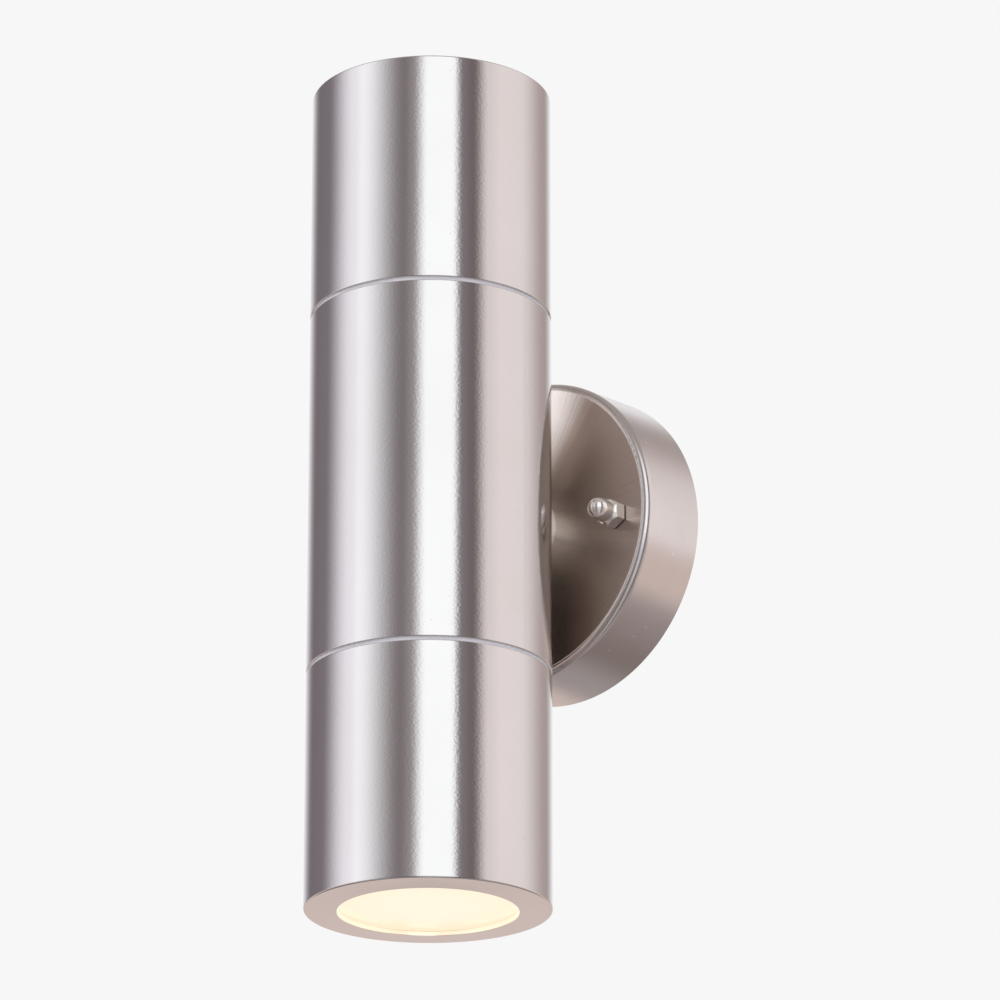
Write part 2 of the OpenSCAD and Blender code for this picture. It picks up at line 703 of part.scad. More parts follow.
module wall_bracket() {
    tongue_w = block_w / 2 + tongue_margin;
    through = bar_t + 2 * cut_over;
    color([0.66, 0.66, 0.64]) difference() {
        toward_room() intersection() {
            union() {
                translate([-canopy_r, -bar_w / 2, 0]) cube([2 * canopy_r, bar_w, bar_t]);
                translate([-tongue_w, 0, 0])
                    cube([2 * tongue_w, block_z + block_len + tongue_margin, bar_t]);
            }
            cylinder(r = bar_end_r, h = bar_t);
        }
        translate([0, cut_over, 0]) toward_room() {
            cylinder(d = cable_hole_d, h = through);
            both_x(slot_x) slot_cut(slot_len, slot_w, through);
            both_x(stud_x) translate([0, -stud_drop, 0])
                cylinder(r = stud_d / 2 + seat_gap, h = through);
            both_x(stud_x) translate([0, -stud_drop, 0])
                cylinder(r = stud_head_d / 2 + seat_gap, h = stud_head_t + cut_over);
            both_x(block_screw_x) translate([0, block_z + block_len / 2, 0])
                cylinder(r = screw_d / 2 + seat_gap, h = through);
            translate([pole_pitch, earth_screw_z, 0]) cylinder(r = screw_d / 2 + seat_gap, h = through);
        }
    }
}

module bracket_studs() {
    stud_end = -nut_base_y + stud_depth;
    color([0.78, 0.77, 0.75]) both_x(stud_x) translate([0, 0, -stud_drop]) toward_room() {
        cylinder(d = stud_head_d, h = stud_head_t);
        cylinder(d = stud_d, h = stud_end);
    }
}

module stud_nuts() {
    color([0.78, 0.77, 0.75]) both_x(stud_x) translate([0, -bar_t, -stud_drop]) toward_room()
        difference() {
            chamfered_hexagon(small_nut_af, stud_nut_h);
            translate([0, 0, -cut_over])
                cylinder(r = stud_d / 2 + seat_gap, h = stud_nut_h + 2 * cut_over);
        }
}

module dome_nuts() {
    dome_r = dome_d / 2;
    color([0.88, 0.87, 0.85]) both_x(stud_x) translate([0, nut_base_y, -stud_drop])
        toward_room() difference() {
            union() {
                chamfered_hexagon(small_nut_af, dome_hex_h);
                cylinder(r = dome_r, h = dome_nut_h - dome_r);
                translate([0, 0, dome_nut_h - dome_r]) sphere(r = dome_r);
            }
            translate([0, 0, -cut_over])
                cylinder(r = stud_d / 2 + seat_gap, h = stud_depth + seat_gap + cut_over);
        }
}

module nut_seals() {
    color([0.12, 0.12, 0.12]) both_x(stud_x) translate([0, -canopy_depth, -stud_drop])
        toward_room() ring(small_nut_af / 2 - seat_gap, stud_d / 2 + seat_gap, nut_seal_t);
}

module cable_grommet() {
    color([0.14, 0.14, 0.14]) toward_room() difference() {
        union() {
            cylinder(r = grommet_r, h = bar_t);
            translate([0, 0, bar_t])
                cylinder(r = grommet_r + grommet_flange_w, h = grommet_flange_t);
        }
        translate([0, 0, -cut_over])
            cylinder(d = cable_bore_d, h = bar_t + grommet_flange_t + 2 * cut_over);
    }
}

module earth_screw() {
    color([0.80, 0.68, 0.35]) translate([pole_pitch, -bar_t, earth_screw_z]) toward_room()
        small_screw(bar_t);
}

// Terminal block

module at_poles() {
    for (pole = [-1, 0, 1]) translate([pole * pole_pitch, 0, 0]) children();
}

module at_clamps() {
    at_poles() for (share = clamp_z_shares)
        translate([0, block_top_y, block_z + block_len * share]) rotate([-90, 0, 0]) children();
}

module terminal_block() {
    color([0.90, 0.89, 0.84]) difference() {
        translate([-block_w / 2, block_top_y, block_z]) cube([block_w, block_h, block_len]);
        at_poles() translate([0, pole_y, block_z - cut_over])
            cylinder(r = pole_tube_r + seat_gap, h = block_len + 2 * cut_over);
        at_clamps() translate([0, 0, -cut_over])
            cylinder(r = screw_d / 2 + seat_gap, h = pole_y - block_top_y + cut_over);
        both_x(block_screw_x) translate([0, block_top_y, block_z + block_len / 2])
            rotate([-90, 0, 0]) {
                translate([0, 0, -cut_over])
                    cylinder(r = screw_d / 2 + seat_gap, h = block_h + 2 * cut_over);
            }
    }
}

module pole_tubes() {
    tube_start = block_z + (block_len - pole_tube_len) / 2;
    color([0.80, 0.68, 0.35]) difference() {
        at_poles() translate([0, pole_y, tube_start])
            ring(pole_tube_r, pole_tube_bore_r, pole_tube_len);
        at_clamps() cylinder(r = screw_d / 2 + seat_gap, h = pole_y - block_top_y);
    }
}

module terminal_screws() {
    clamp_len = pole_y - block_top_y - pole_tube_bore_r;
    color([0.74, 0.73, 0.70]) at_clamps() cylinder(d = screw_d, h = clamp_len);
}

module block_screws() {
    color([0.74, 0.73, 0.70]) both_x(block_screw_x)
        translate([0, block_top_y, block_z + block_len / 2]) toward_room()
            small_screw(block_h + bar_t);
}

// Leads, each one tube swept along a smooth route through its own points

function unit(v) = v / norm(v);
function blend(a, b, c, d, t) = (2 * b + (c - a) * t + (2 * a - 5 * b + 4 * c - d) * t * t
    + (3 * b - a - 3 * c + d) * t * t * t) / 2;
function smooth_route(p, steps) = concat(
    [for (i = [0 : len(p) - 2]) for (k = [0 : steps - 1])
        blend(p[max(i - 1, 0)], p[i], p[i + 1], p[min(i + 2, len(p) - 1)], k / steps)],
    [p[len(p) - 1]]);
function heading(p, i) = unit(p[min(i + 1, len(p) - 1)] - p[max(i - 1, 0)]);
function lead_ring(p, i, side_ref) = let (
        along = heading(p, i),
        across = unit(cross(along, side_ref)),
        other = cross(along, across)
    ) [for (s = [0 : lead_sides - 1]) p[i]
        + lead_d / 2 * (cos(360 * s / lead_sides) * across + sin(360 * s / lead_sides) * other)];

lead_sides = 8;
route_steps = 3;

module swept_lead(points, side_ref) {
    path = smooth_route(points, route_steps);
    last = (len(path) - 1) * lead_sides;
    skin = [for (i = [0 : len(path) - 2]) for (s = [0 : lead_sides - 1]) let (
            a = i * lead_sides + s,
            b = i * lead_sides + (s + 1) % lead_sides
        ) each [[a, a + lead_sides, b + lead_sides], [a, b + lead_sides, b]]];
    near_end = [for (s = [1 : lead_sides - 2]) [0, s, s + 1]];
    far_end = [for (s = [1 : lead_sides - 2]) [last, last + s + 1, last + s]];
    polyhedron(points = [for (i = [0 : len(path) - 1]) each lead_ring(path, i, side_ref)],
               faces = concat(skin, near_end, far_end));
}

// The leads' spacing in the nipple, as a share of a lead's diameter, keeps them apart there.
// A lamp's lead runs from its contact through the nipple to its pole. The shares give how far
// each point of the route has come: inwards and down the tube to the nipple, and then from the
// nipple across and up to the pole.
bundle_share = 0.645;
pole_end_share = 0.2;
tube_in_shares = [0, 0.08, 0.4, 0.8];
tube_side_shares = [1, 1, 0.75, 0.28];
tube_height_shares = [1, 0.68, 0.32, 0.08];
upper_across_shares = [0.2, 0.7, 1];
upper_back_shares = [0.4, 1, 1];
upper_height_shares = [0.14, 0.5, 0.86];
lower_across_shares = [0.12, 0.55, 1];
lower_back_shares = [0.62, 1, 1];
lower_height_shares = [0.01, 0.4, 0.84];

bundle = lead_d * bundle_share;
pole_lead_end = block_z + block_len * pole_end_share;

// side is -1 or 1 along X, level is 1 for the upper lamp and -1 for the lower one, and pole
// counts the poles from the middle one
function lamp_lead(side, level, pole) = let (
        pole_x = pole * pole_pitch,
        lay_y = pole_y - level * lead_d * lay_share,
        reach_y = nipple_front_y - tube_axis_y,
        drop = bridge_back * level,
        bore_points = [for (y = [nipple_front_y, (nipple_front_y + nipple_rear_y) / 2, nipple_rear_y])
            [side * bundle, y, level * bundle]],
        tube_points = [for (i = [0 : len(tube_in_shares) - 1])
            [side * pin_r * tube_side_shares[i], tube_axis_y + reach_y * tube_in_shares[i],
             drop * tube_height_shares[i]]],
        across = level > 0 ? upper_across_shares : lower_across_shares,
        back = level > 0 ? upper_back_shares : lower_back_shares,
        height = level > 0 ? upper_height_shares : lower_height_shares,
        canopy_points = [for (i = [0 : len(across) - 1])
            [side * bundle + (pole_x - side * bundle) * across[i],
             nipple_rear_y + (lay_y - nipple_rear_y) * back[i],
             level * bundle + (block_z - level * bundle) * height[i]]]
    ) concat([[side * pin_r, tube_axis_y, level * (chamber_floor - seat_gap)]],
             tube_points, bore_points, canopy_points, [[pole_x, lay_y, pole_lead_end]]);

module live_leads() {
    color([0.50, 0.30, 0.17]) for (level = [-1, 1]) swept_lead(lamp_lead(-1, level, -1), [1, 0, 0]);
}
module neutral_leads() {
    color([0.25, 0.40, 0.65]) for (level = [-1, 1]) swept_lead(lamp_lead(1, level, 0), [1, 0, 0]);
}

// The earth lead runs from the tag under the nipple's rear nut to the pole on its own side
earth_across_shares = [1.25, 1.1];
earth_back_shares = [0.12, 0.5];
earth_height_shares = [0.12, 0.4];
earth_turn_share = 0.72;
earth_mouth_share = 0.9;
module earth_lead() {
    start_y = rear_nut_y + lead_d / 2 + 2 * seat_gap;
    color([0.35, 0.60, 0.20]) swept_lead(concat(
        [[tag_reach - tag_w, start_y, 0], [tag_reach, start_y, 0]],
        [for (i = [0 : len(earth_across_shares) - 1])
            [tag_reach * earth_across_shares[i],
             start_y + (pole_y - start_y) * earth_back_shares[i],
             block_z * earth_height_shares[i]]],
        [[pole_pitch + tag_w / 4, pole_y, block_z * earth_turn_share],
         [pole_pitch, pole_y, block_z * earth_mouth_share],
         [pole_pitch, pole_y, pole_lead_end]]), [1, 1, -1]);
}

centre_tube();
upper_cap();
lower_cap();
upper_glass_gasket();
lower_glass_gasket();
upper_glass();
lower_glass();
upper_retaining_ring();
lower_retaining_ring();
upper_collar();
lower_collar();
upper_seam_gasket();
lower_seam_gasket();
upper_o_ring();
lower_o_ring();
upper_bridge();
lower_bridge();
bridge_screws();
upper_lampholder();
lower_lampholder();
holder_screws();
upper_contacts();
lower_contacts();
upper_lamp_body();
lower_lamp_body();
upper_lamp_lens();
lower_lamp_lens();
upper_lamp_pins();
lower_lamp_pins();
stem();
stem_seal();
nipple();
nipple_nuts();
saddle_washer();
toothed_washer();
earth_tag();
canopy();
wall_gasket();
wall_bracket();
bracket_studs();
stud_nuts();
dome_nuts();
nut_seals();
cable_grommet();
earth_screw();
terminal_block();
pole_tubes();
terminal_screws();
block_screws();
live_leads();
neutral_leads();
earth_lead();
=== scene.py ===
import json
import math
import bmesh
import bpy
from mathutils import Matrix, Vector


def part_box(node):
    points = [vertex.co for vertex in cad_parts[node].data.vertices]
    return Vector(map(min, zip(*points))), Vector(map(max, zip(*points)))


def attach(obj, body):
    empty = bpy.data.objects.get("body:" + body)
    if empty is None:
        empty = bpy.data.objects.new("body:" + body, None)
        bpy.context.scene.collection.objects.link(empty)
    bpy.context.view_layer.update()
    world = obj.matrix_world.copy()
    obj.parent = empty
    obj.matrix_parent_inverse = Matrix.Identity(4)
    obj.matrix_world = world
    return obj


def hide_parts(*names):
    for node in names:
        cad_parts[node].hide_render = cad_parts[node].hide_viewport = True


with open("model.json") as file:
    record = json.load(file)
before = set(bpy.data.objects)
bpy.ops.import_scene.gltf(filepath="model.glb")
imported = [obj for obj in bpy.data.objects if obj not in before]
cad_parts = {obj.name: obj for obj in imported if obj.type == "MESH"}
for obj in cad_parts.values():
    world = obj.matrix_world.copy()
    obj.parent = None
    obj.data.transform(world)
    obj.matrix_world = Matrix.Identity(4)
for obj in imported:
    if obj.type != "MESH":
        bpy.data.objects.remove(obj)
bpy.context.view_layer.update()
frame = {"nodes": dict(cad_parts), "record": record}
nodes = frame["nodes"]
scene = bpy.context.scene

# Places that the frame gives, in metres
tubeLow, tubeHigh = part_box("centre_tube")
tubeAxis = Vector((0, (tubeLow.y + tubeHigh.y) / 2, 0))


def towards(azimuth, elevation):
    # azimuth 0 is the room's side, -Y, and 90 is +X
    turn, rise = math.radians(azimuth), math.radians(elevation)
    return Vector((math.sin(turn) * math.cos(rise), -math.cos(turn) * math.cos(rise), math.sin(rise)))


# Camera

cameraSpec = {
    "azimuth": 40.08, "elevation": -19.55, "distance": 1.34914,
    "target": (0.022544, -0.0565, -0.005967), "lens": 199.435, "sensor": 36.0,
    "clipEnd": 50,
}


def makeCamera(spec):
    data = bpy.data.cameras.new("camera")
    data.lens = spec["lens"]
    data.sensor_width = spec["sensor"]
    data.clip_end = spec["clipEnd"]
    camera = bpy.data.objects.new("camera", data)
    direction = towards(spec["azimuth"], spec["elevation"])
    camera.location = Vector(spec["target"]) + direction * spec["distance"]
    camera.rotation_euler = direction.to_track_quat("Z", "Y").to_euler()
    scene.collection.objects.link(camera)
    scene.camera = camera


makeCamera(cameraSpec)
print("camera done")


# Node helpers

def addNode(tree, kind, values=None, **settings):
    made = tree.nodes.new(kind)
    for key, value in settings.items():
        setattr(made, key, value)
    for key, value in (values or {}).items():
        socket = made.inputs[key]
        if isinstance(value, bpy.types.NodeSocket):
            tree.links.new(value, socket)
        else:
            socket.default_value = value
    return made


def calculate(tree, operation, first, second=0.0, third=0.0):
    return addNode(tree, "ShaderNodeMath", {0: first, 1: second, 2: third},
                   operation=operation).outputs[0]


def combine(tree, operation, first, second=(0, 0, 0)):
    return addNode(tree, "ShaderNodeVectorMath", {0: first, 1: second}, operation=operation).outputs[0]


def lengthOf(tree, vector):
    return addNode(tree, "ShaderNodeVectorMath", {0: vector}, operation="LENGTH").outputs["Value"]


def spread(tree, value, start, end, low=0.0, high=1.0, kind="LINEAR"):
    # start to end becomes low to high, and a value beyond them is held at low or high
    return addNode(tree, "ShaderNodeMapRange", {0: value, 1: start, 2: end, 3: low, 4: high},
                   interpolation_type=kind).outputs[0]


def easedSpread(tree, value, start, end):
    return spread(tree, value, start, end, kind="SMOOTHSTEP")


def mixColors(tree, share, first, second):
    made = addNode(tree, "ShaderNodeMix", {0: share, 6: first, 7: second}, data_type="RGBA")
    return made.outputs[2]


def rampOf(tree, value, stops, interpolation):
    made = addNode(tree, "ShaderNodeValToRGB", {0: value})
    made.color_ramp.interpolation = interpolation
    elements = made.color_ramp.elements
    while len(elements) < len(stops):
        elements.new(0.5)
    for element, (place, color) in zip(elements, stops):
        element.position = place
        element.color = (*color, 1)
    return made.outputs[0]


def seenDirectly(tree):
    # 1 where the camera looks straight at it or through glass, else 0
    path = addNode(tree, "ShaderNodeLightPath").outputs
    return calculate(tree, "MAXIMUM", path["Is Camera Ray"], path["Is Transmission Ray"])


# Studio

studioSpec = {
    "backdrop": (0.93, 0.93, 0.93), "level": (0.60, 0.60, 0.60),
    "ceiling": (0.42, 0.38, 0.36), "farGround": (0.74, 0.62, 0.58),
    "nearGround": (0.16, 0.13, 0.12), "deepGround": (0.17, 0.13, 0.12),
    # the near ground's middle azimuth, and how far round it reaches, in degrees
    "nearAzimuth": 40, "nearReach": (60, 90),
    # how much of the sides' stripes the near and the deep ground carry on
    "nearStripes": 0.45, "deepStripes": 0.30,
    # the heights of a mirrored ray between which the ceiling, the ground and the deep ground fade in
    "ceilingFade": (0.58, 0.84), "groundFade": (0.10, -0.12), "deepFade": (-0.36, -0.52),
    # what stands round the light for the metal to mirror, by azimuth in degrees
    "sides": [
        (-180, (0.45, 0.40, 0.38)), (-152, (0.95, 0.93, 0.96)), (-128, (0.86, 0.84, 0.89)),
        (-97, (0.22, 0.19, 0.21)), (-77, (0.24, 0.21, 0.24)), (-38, (1.08, 1.06, 1.14)),
        (-30, (1.20, 1.21, 1.28)), (15, (0.25, 0.22, 0.23)), (23, (0.36, 0.32, 0.33)),
        (37, (1.30, 1.34, 1.38)), (62, (1.30, 1.34, 1.38)), (70, (0.26, 0.23, 0.25)),
        (82, (0.20, 0.165, 0.17)), (98, (0.90, 0.83, 0.84)), (112, (1.0, 0.92, 0.93)),
        (132, (0.98, 0.91, 0.92)), (178, (0.50, 0.42, 0.41)),
    ],
    "floorDrop": 1.2, "floorRadius": 6.0, "floorSides": 96,
    "floorColor": (0.82, 0.76, 0.73), "floorRoughness": 0.7,
    # how far from its middle the floor, as the camera sees it, fades to the backdrop, in metres
    "floorFade": (0.0, 0.5),
}


def makeWorld(spec):
    world = bpy.data.worlds.new("studio")
    scene.world = world
    world.use_nodes = True
    tree = world.node_tree
    direction = addNode(tree, "ShaderNodeSeparateXYZ",
                        {0: addNode(tree, "ShaderNodeTexCoord").outputs["Generated"]}).outputs
    azimuth = calculate(tree, "ARCTAN2", direction[0], calculate(tree, "MULTIPLY", direction[1], -1.0))
    place = calculate(tree, "MULTIPLY_ADD", azimuth, 0.5 / math.pi, 0.5)
    stops = [((angle + 180) / 360, color) for angle, color in spec["sides"]]
    sides = rampOf(tree, place, stops, "EASE")
    fromNear = calculate(tree, "SUBTRACT", azimuth, math.radians(spec["nearAzimuth"]))
    nearCos, farCos = [math.cos(math.radians(reach)) for reach in spec["nearReach"]]
    near = easedSpread(tree, calculate(tree, "COSINE", fromNear), farCos, nearCos)
    close = mixColors(tree, spec["nearStripes"], (*spec["nearGround"], 1), sides)
    ground = mixColors(tree, near, (*spec["farGround"], 1), close)
    deep = mixColors(tree, spec["deepStripes"], (*spec["deepGround"], 1), sides)
    ground = mixColors(tree, easedSpread(tree, direction[2], *spec["deepFade"]), ground, deep)
    high = easedSpread(tree, direction[2], *spec["ceilingFade"])
    room = mixColors(tree, high, sides, (*spec["ceiling"], 1))
    room = mixColors(tree, easedSpread(tree, direction[2], *spec["groundFade"]), room, ground)
    mirrored = addNode(tree, "ShaderNodeLightPath").outputs["Is Glossy Ray"]
    light = mixColors(tree, mirrored, (*spec["level"], 1), room)
    light = mixColors(tree, seenDirectly(tree), light, (*spec["backdrop"], 1))
    tree.links.new(light, tree.nodes["Background"].inputs["Color"])


def makeFloor(spec):
    mesh = bpy.data.meshes.new("floor")
    turns = [2 * math.pi * i / spec["floorSides"] for i in range(spec["floorSides"])]
    rim = [(spec["floorRadius"] * math.cos(turn), spec["floorRadius"] * math.sin(turn),
            -spec["floorDrop"]) for turn in turns]
    mesh.from_pydata(rim, [], [list(range(len(rim)))])
    floor = bpy.data.objects.new("floor", mesh)
    scene.collection.objects.link(floor)
    material = bpy.data.materials.new("paleFloor")
    material.use_nodes = True
    tree = material.node_tree
    shader = tree.nodes["Principled BSDF"]
    shader.inputs["Base Color"].default_value = (*spec["floorColor"], 1)
    shader.inputs["Roughness"].default_value = spec["floorRoughness"]
    place = addNode(tree, "ShaderNodeTexCoord").outputs["Object"]
    reach = lengthOf(tree, combine(tree, "MULTIPLY", place, (1, 1, 0)))
    share = calculate(tree, "MULTIPLY", easedSpread(tree, reach, *spec["floorFade"]), seenDirectly(tree))
    glow = addNode(tree, "ShaderNodeEmission", {"Color": (*spec["backdrop"], 1)}).outputs[0]
    mixed = addNode(tree, "ShaderNodeMixShader", {0: share, 1: shader.outputs[0], 2: glow})
    tree.links.new(mixed.outputs[0], tree.nodes["Material Output"].inputs["Surface"])
    mesh.materials.append(material)
    floor.visible_glossy = False


softboxSpecs = [
    {"name": "keySoftbox", "azimuth": 48, "elevation": 24, "distance": 1.6, "width": 0.62,
     "height": 1.6, "power": 3.6},
    {"name": "leftSoftbox", "azimuth": -40, "elevation": 30, "distance": 1.6, "width": 0.9,
     "height": 1.2, "power": 2.6},
    {"name": "topSoftbox", "azimuth": 20, "elevation": 80, "distance": 1.6, "width": 1.2,
     "height": 1.2, "power": 3.0},
]


def makeSoftbox(spec):
    data = bpy.data.lights.new(spec["name"], "AREA")
    data.shape = "RECTANGLE"
    data.size, data.size_y = spec["width"], spec["height"]
    data.energy = spec["power"]
    softbox = bpy.data.objects.new(spec["name"], data)
    direction = towards(spec["azimuth"], spec["elevation"])
    softbox.location = tubeAxis + direction * spec["distance"]
    softbox.rotation_euler = direction.to_track_quat("Z", "Y").to_euler()
    softbox.visible_camera = False
    # the metal mirrors the studio's sides instead
    softbox.visible_glossy = False
    scene.collection.objects.link(softbox)


makeWorld(studioSpec)
makeFloor(studioSpec)
for softboxSpec in softboxSpecs:
    makeSoftbox(softboxSpec)
scene.view_settings.view_transform = "Standard"
print("studio done")


# Finishes. Every noise starts with a scale per metre. Grain, fine grain and waves go on with a
# stretch per axis and a depth in metres. Scratches go on with a stretch, the noise levels where
# they fade in and how much rougher they are, and specks with a size, how rare they are and a colour.
# A finish's center is where its noises have their origin.

finishSpecs = {
    "brushed_tube": {
        "color": (0.735, 0.715, 0.70), "second": (0.715, 0.695, 0.675), "metallic": 1.0,
        "roughness": (0.05, 0.09), "patches": 26, "center": tuple(tubeAxis),
        "grain": (300, (0.12, 0.12, 9), 4.0e-6), "fine": (1700, (0.8, 0.8, 1.3), 20e-6),
        "waves": (55, (1, 1, 0.5), 25e-6), "scratches": (90, (0.5, 0.5, 26), (0.72, 0.76), 0.10),
        "specks": (700, 0.08, 0.985, (0.58, 0.55, 0.53)),
        # the lip's inner wall, with the lamp's light on it painted as a glow: its radius, its height and
        # its glow
        "lip": (0.0220, 0.1040, (0.36, 0.30, 0.21)),
    },
    "satin_canopy": {
        "color": (0.75, 0.715, 0.70), "second": (0.72, 0.685, 0.665), "metallic": 1.0,
        "roughness": (0.18, 0.23), "patches": 40, "center": (0, 0, 0),
        "grain": (700, (1, 1, 0.3), 1.2e-6), "fine": (2400, (1, 1, 1), 1.0e-6),
        "waves": (70, (1, 1, 1), 8e-6), "specks": (420, 0.09, 0.97, (0.90, 0.88, 0.86)),
        # the turned face of the plate, whose darker brown colour is painted shade, the bright line on its
        # edge, which is a painted highlight, and the streaks on it, whose noise has a detail and a
        # roughness
        "plate": {"depth": 0.0193, "radius": 0.0376, "line": 0.00022, "lineCore": 0.3,
                  "color": (0.47, 0.395, 0.35), "paintedLineColor": (0.93, 0.86, 0.81), "lineDull": 0.75,
                  "roughness": 0.28, "stretch": 0.89, "streaks": 90, "streakDepth": 0.08,
                  "streakNoise": (4.0, 0.7),
                  # the fan of painted highlight, lighter, duller and glowing, where brushed steel would
                  # show a reflection:
                  # its middle, half width and soft edge in degrees, how ragged that edge is, where the fan
                  # starts and is full in metres, its colour, how dull it is, how it glints, and its fine
                  # marks with the least glint they leave
                  "fan": {"middle": 86, "half": 30, "soft": 12, "ragged": 0.25, "start": 0.004,
                          "full": 0.030, "color": (0.96, 0.90, 0.88), "dull": 0.80, "glint": 0.46,
                          "brush": 420, "brushDepth": 1.5, "brushLeast": 0.2}},
    },
    "turned_steel": {
        # painted highlight: a near white colour and a glow of its own make this steel brighter than its
        # reflections alone
        "color": (0.97, 0.95, 0.93), "second": (0.94, 0.92, 0.90), "metallic": 0.80,
        "roughness": (0.08, 0.13), "patches": 90, "center": (0, 0, 0),
        "grain": (300, (0.1, 12, 0.1), 1.2e-6), "fine": (2600, (1, 1, 1), 0.6e-6),
        "glow": ((0.97, 0.93, 0.90), 0.12),
    },
    "nickel_plate": {
        "color": (0.97, 0.93, 0.90), "second": (0.91, 0.87, 0.84), "metallic": 0.84,
        "roughness": (0.06, 0.12), "patches": 300, "center": (0, 0, 0),
        "grain": (1400, (1, 1, 1), 2.0e-6), "fine": (3800, (1, 1, 1), 1.0e-6),
    },
    "zinc_steel": {
        "color": (0.64, 0.65, 0.64), "second": (0.56, 0.57, 0.57), "metallic": 1.0,
        "roughness": (0.30, 0.46), "patches": 160, "center": (0, 0, 0),
        "grain": (700, (1, 1, 1), 3.0e-6), "fine": (3000, (1, 1, 1), 2.0e-6),
    },
    "spring_steel": {
        "color": (0.50, 0.50, 0.51), "second": (0.42, 0.41, 0.41), "metallic": 1.0,
        "roughness": (0.24, 0.34), "patches": 200, "center": (0, 0, 0),
        "grain": (900, (1, 1, 1), 2.0e-6), "fine": (3400, (1, 1, 1), 1.0e-6),
    },
    "collar_aluminium": {
        "color": (0.74, 0.75, 0.76), "second": (0.68, 0.69, 0.70), "metallic": 1.0,
        "roughness": (0.26, 0.36), "patches": 60, "center": tuple(tubeAxis),
        "grain": (420, (0.1, 0.1, 8), 5.0e-6), "fine": (2600, (1, 1, 1), 1.5e-6),
    },
    "brass": {
        "color": (0.78, 0.60, 0.28), "second": (0.68, 0.50, 0.22), "metallic": 1.0,
        "roughness": (0.22, 0.34), "patches": 240, "center": (0, 0, 0),
        "grain": (1200, (1, 1, 1), 1.5e-6), "fine": (3200, (1, 1, 1), 1.0e-6),
    },
    "seam_silicone": {
        "color": (0.90, 0.89, 0.97), "second": (0.87, 0.86, 0.94), "metallic": 0.0,
        "roughness": (0.48, 0.60), "patches": 180, "center": (0, 0, 0),
        "grain": (800, (1, 1, 1), 4.0e-6), "fine": (3200, (1, 1, 1), 2.5e-6),
    },
    "clear_silicone": {
        "color": (0.80, 0.66, 0.47), "second": (0.74, 0.60, 0.42), "metallic": 0.0,
        "roughness": (0.40, 0.52), "patches": 180, "center": (0, 0, 0),
        "grain": (800, (1, 1, 1), 4.0e-6), "fine": (3200, (1, 1, 1), 2.5e-6),
    },
    "black_rubber": {
        "color": (0.030, 0.030, 0.031), "second": (0.050, 0.049, 0.048), "metallic": 0.0,
        "roughness": (0.50, 0.66), "patches": 220, "center": (0, 0, 0),
        "grain": (1500, (1, 1, 1), 6.0e-6), "fine": (3600, (1, 1, 1), 3.0e-6),
    },
    "black_foam": {
        "color": (0.035, 0.035, 0.036), "second": (0.070, 0.069, 0.068), "metallic": 0.0,
        "roughness": (0.80, 0.95), "patches": 1500, "center": (0, 0, 0),
        "grain": (1300, (1, 1, 1), 60e-6), "fine": (3600, (1, 1, 1), 20e-6),
    },
    "lit_glass": {
        "color": (0.06, 0.055, 0.045), "second": (0.05, 0.045, 0.038), "metallic": 0.0,
        "roughness": (0.16, 0.24), "patches": 60, "center": (0, 0, 0),
        "grain": (500, (1, 1, 1), 2.0e-6), "fine": (2600, (1, 1, 1), 1.5e-6),
        # the glow at the middle and at the edge, and how far from the axis it changes, in metres
        "glow": ((0.88, 0.785, 0.62), 1.0), "edgeGlow": ((0.89, 0.765, 0.57), 0.006, 0.0222),
    },
    "lamp_lens": {
        "color": (0.97, 0.94, 0.86), "second": (0.95, 0.91, 0.80), "metallic": 0.0,
        "roughness": (0.22, 0.32), "patches": 120, "center": (0, 0, 0),
        "grain": (600, (1, 1, 1), 6.0e-6), "fine": (2600, (1, 1, 1), 2.0e-6),
        "glow": ((1.0, 0.93, 0.78), 0.80),
    },
    "lamp_white": {
        "color": (0.84, 0.84, 0.83), "second": (0.80, 0.80, 0.78), "metallic": 0.0,
        "roughness": (0.26, 0.36), "patches": 70, "center": (0, 0, 0),
        "grain": (1600, (1, 1, 1), 5.0e-6), "fine": (3400, (1, 1, 1), 2.0e-6),
    },
    "holder_ceramic": {
        "color": (0.86, 0.84, 0.78), "second": (0.80, 0.78, 0.71), "metallic": 0.0,
        "roughness": (0.14, 0.28), "patches": 130, "center": (0, 0, 0),
        "grain": (340, (1, 1, 1), 14e-6), "fine": (2200, (1, 1, 1), 3.0e-6),
        # how much clear glaze lies on it, and the glaze's roughness
        "coat": (0.4, 0.08),
    },
    "terminal_plastic": {
        "color": (0.82, 0.80, 0.74), "second": (0.77, 0.75, 0.68), "metallic": 0.0,
        "roughness": (0.40, 0.52), "patches": 110, "center": (0, 0, 0),
        "grain": (1500, (1, 1, 1), 6.0e-6), "fine": (3600, (1, 1, 1), 3.0e-6),
    },
    "brown_lead": {
        "color": (0.20, 0.085, 0.038), "second": (0.16, 0.065, 0.028), "metallic": 0.0,
        "roughness": (0.36, 0.48), "patches": 260, "center": (0, 0, 0),
        "grain": (900, (1, 1, 1), 4.0e-6), "fine": (3600, (1, 1, 1), 2.0e-6),
    },
    "blue_lead": {
        "color": (0.035, 0.11, 0.42), "second": (0.028, 0.085, 0.34), "metallic": 0.0,
        "roughness": (0.36, 0.48), "patches": 260, "center": (0, 0, 0),
        "grain": (900, (1, 1, 1), 4.0e-6), "fine": (3600, (1, 1, 1), 2.0e-6),
    },
    "earth_green_yellow": {
        "color": (0.62, 0.60, 0.03), "second": (0.05, 0.30, 0.04), "metallic": 0.0,
        "roughness": (0.36, 0.48), "patches": 220, "center": (0, 0, 0),
        "grain": (900, (1, 1, 1), 4.0e-6), "fine": (3600, (1, 1, 1), 2.0e-6), "striped": True,
    },
}


# The noise levels between which patches change colour, and grain and streaks change the finish
patchRange = (0.38, 0.62)
grainRange = (0.3, 0.7)
grainRoughness = 0.55


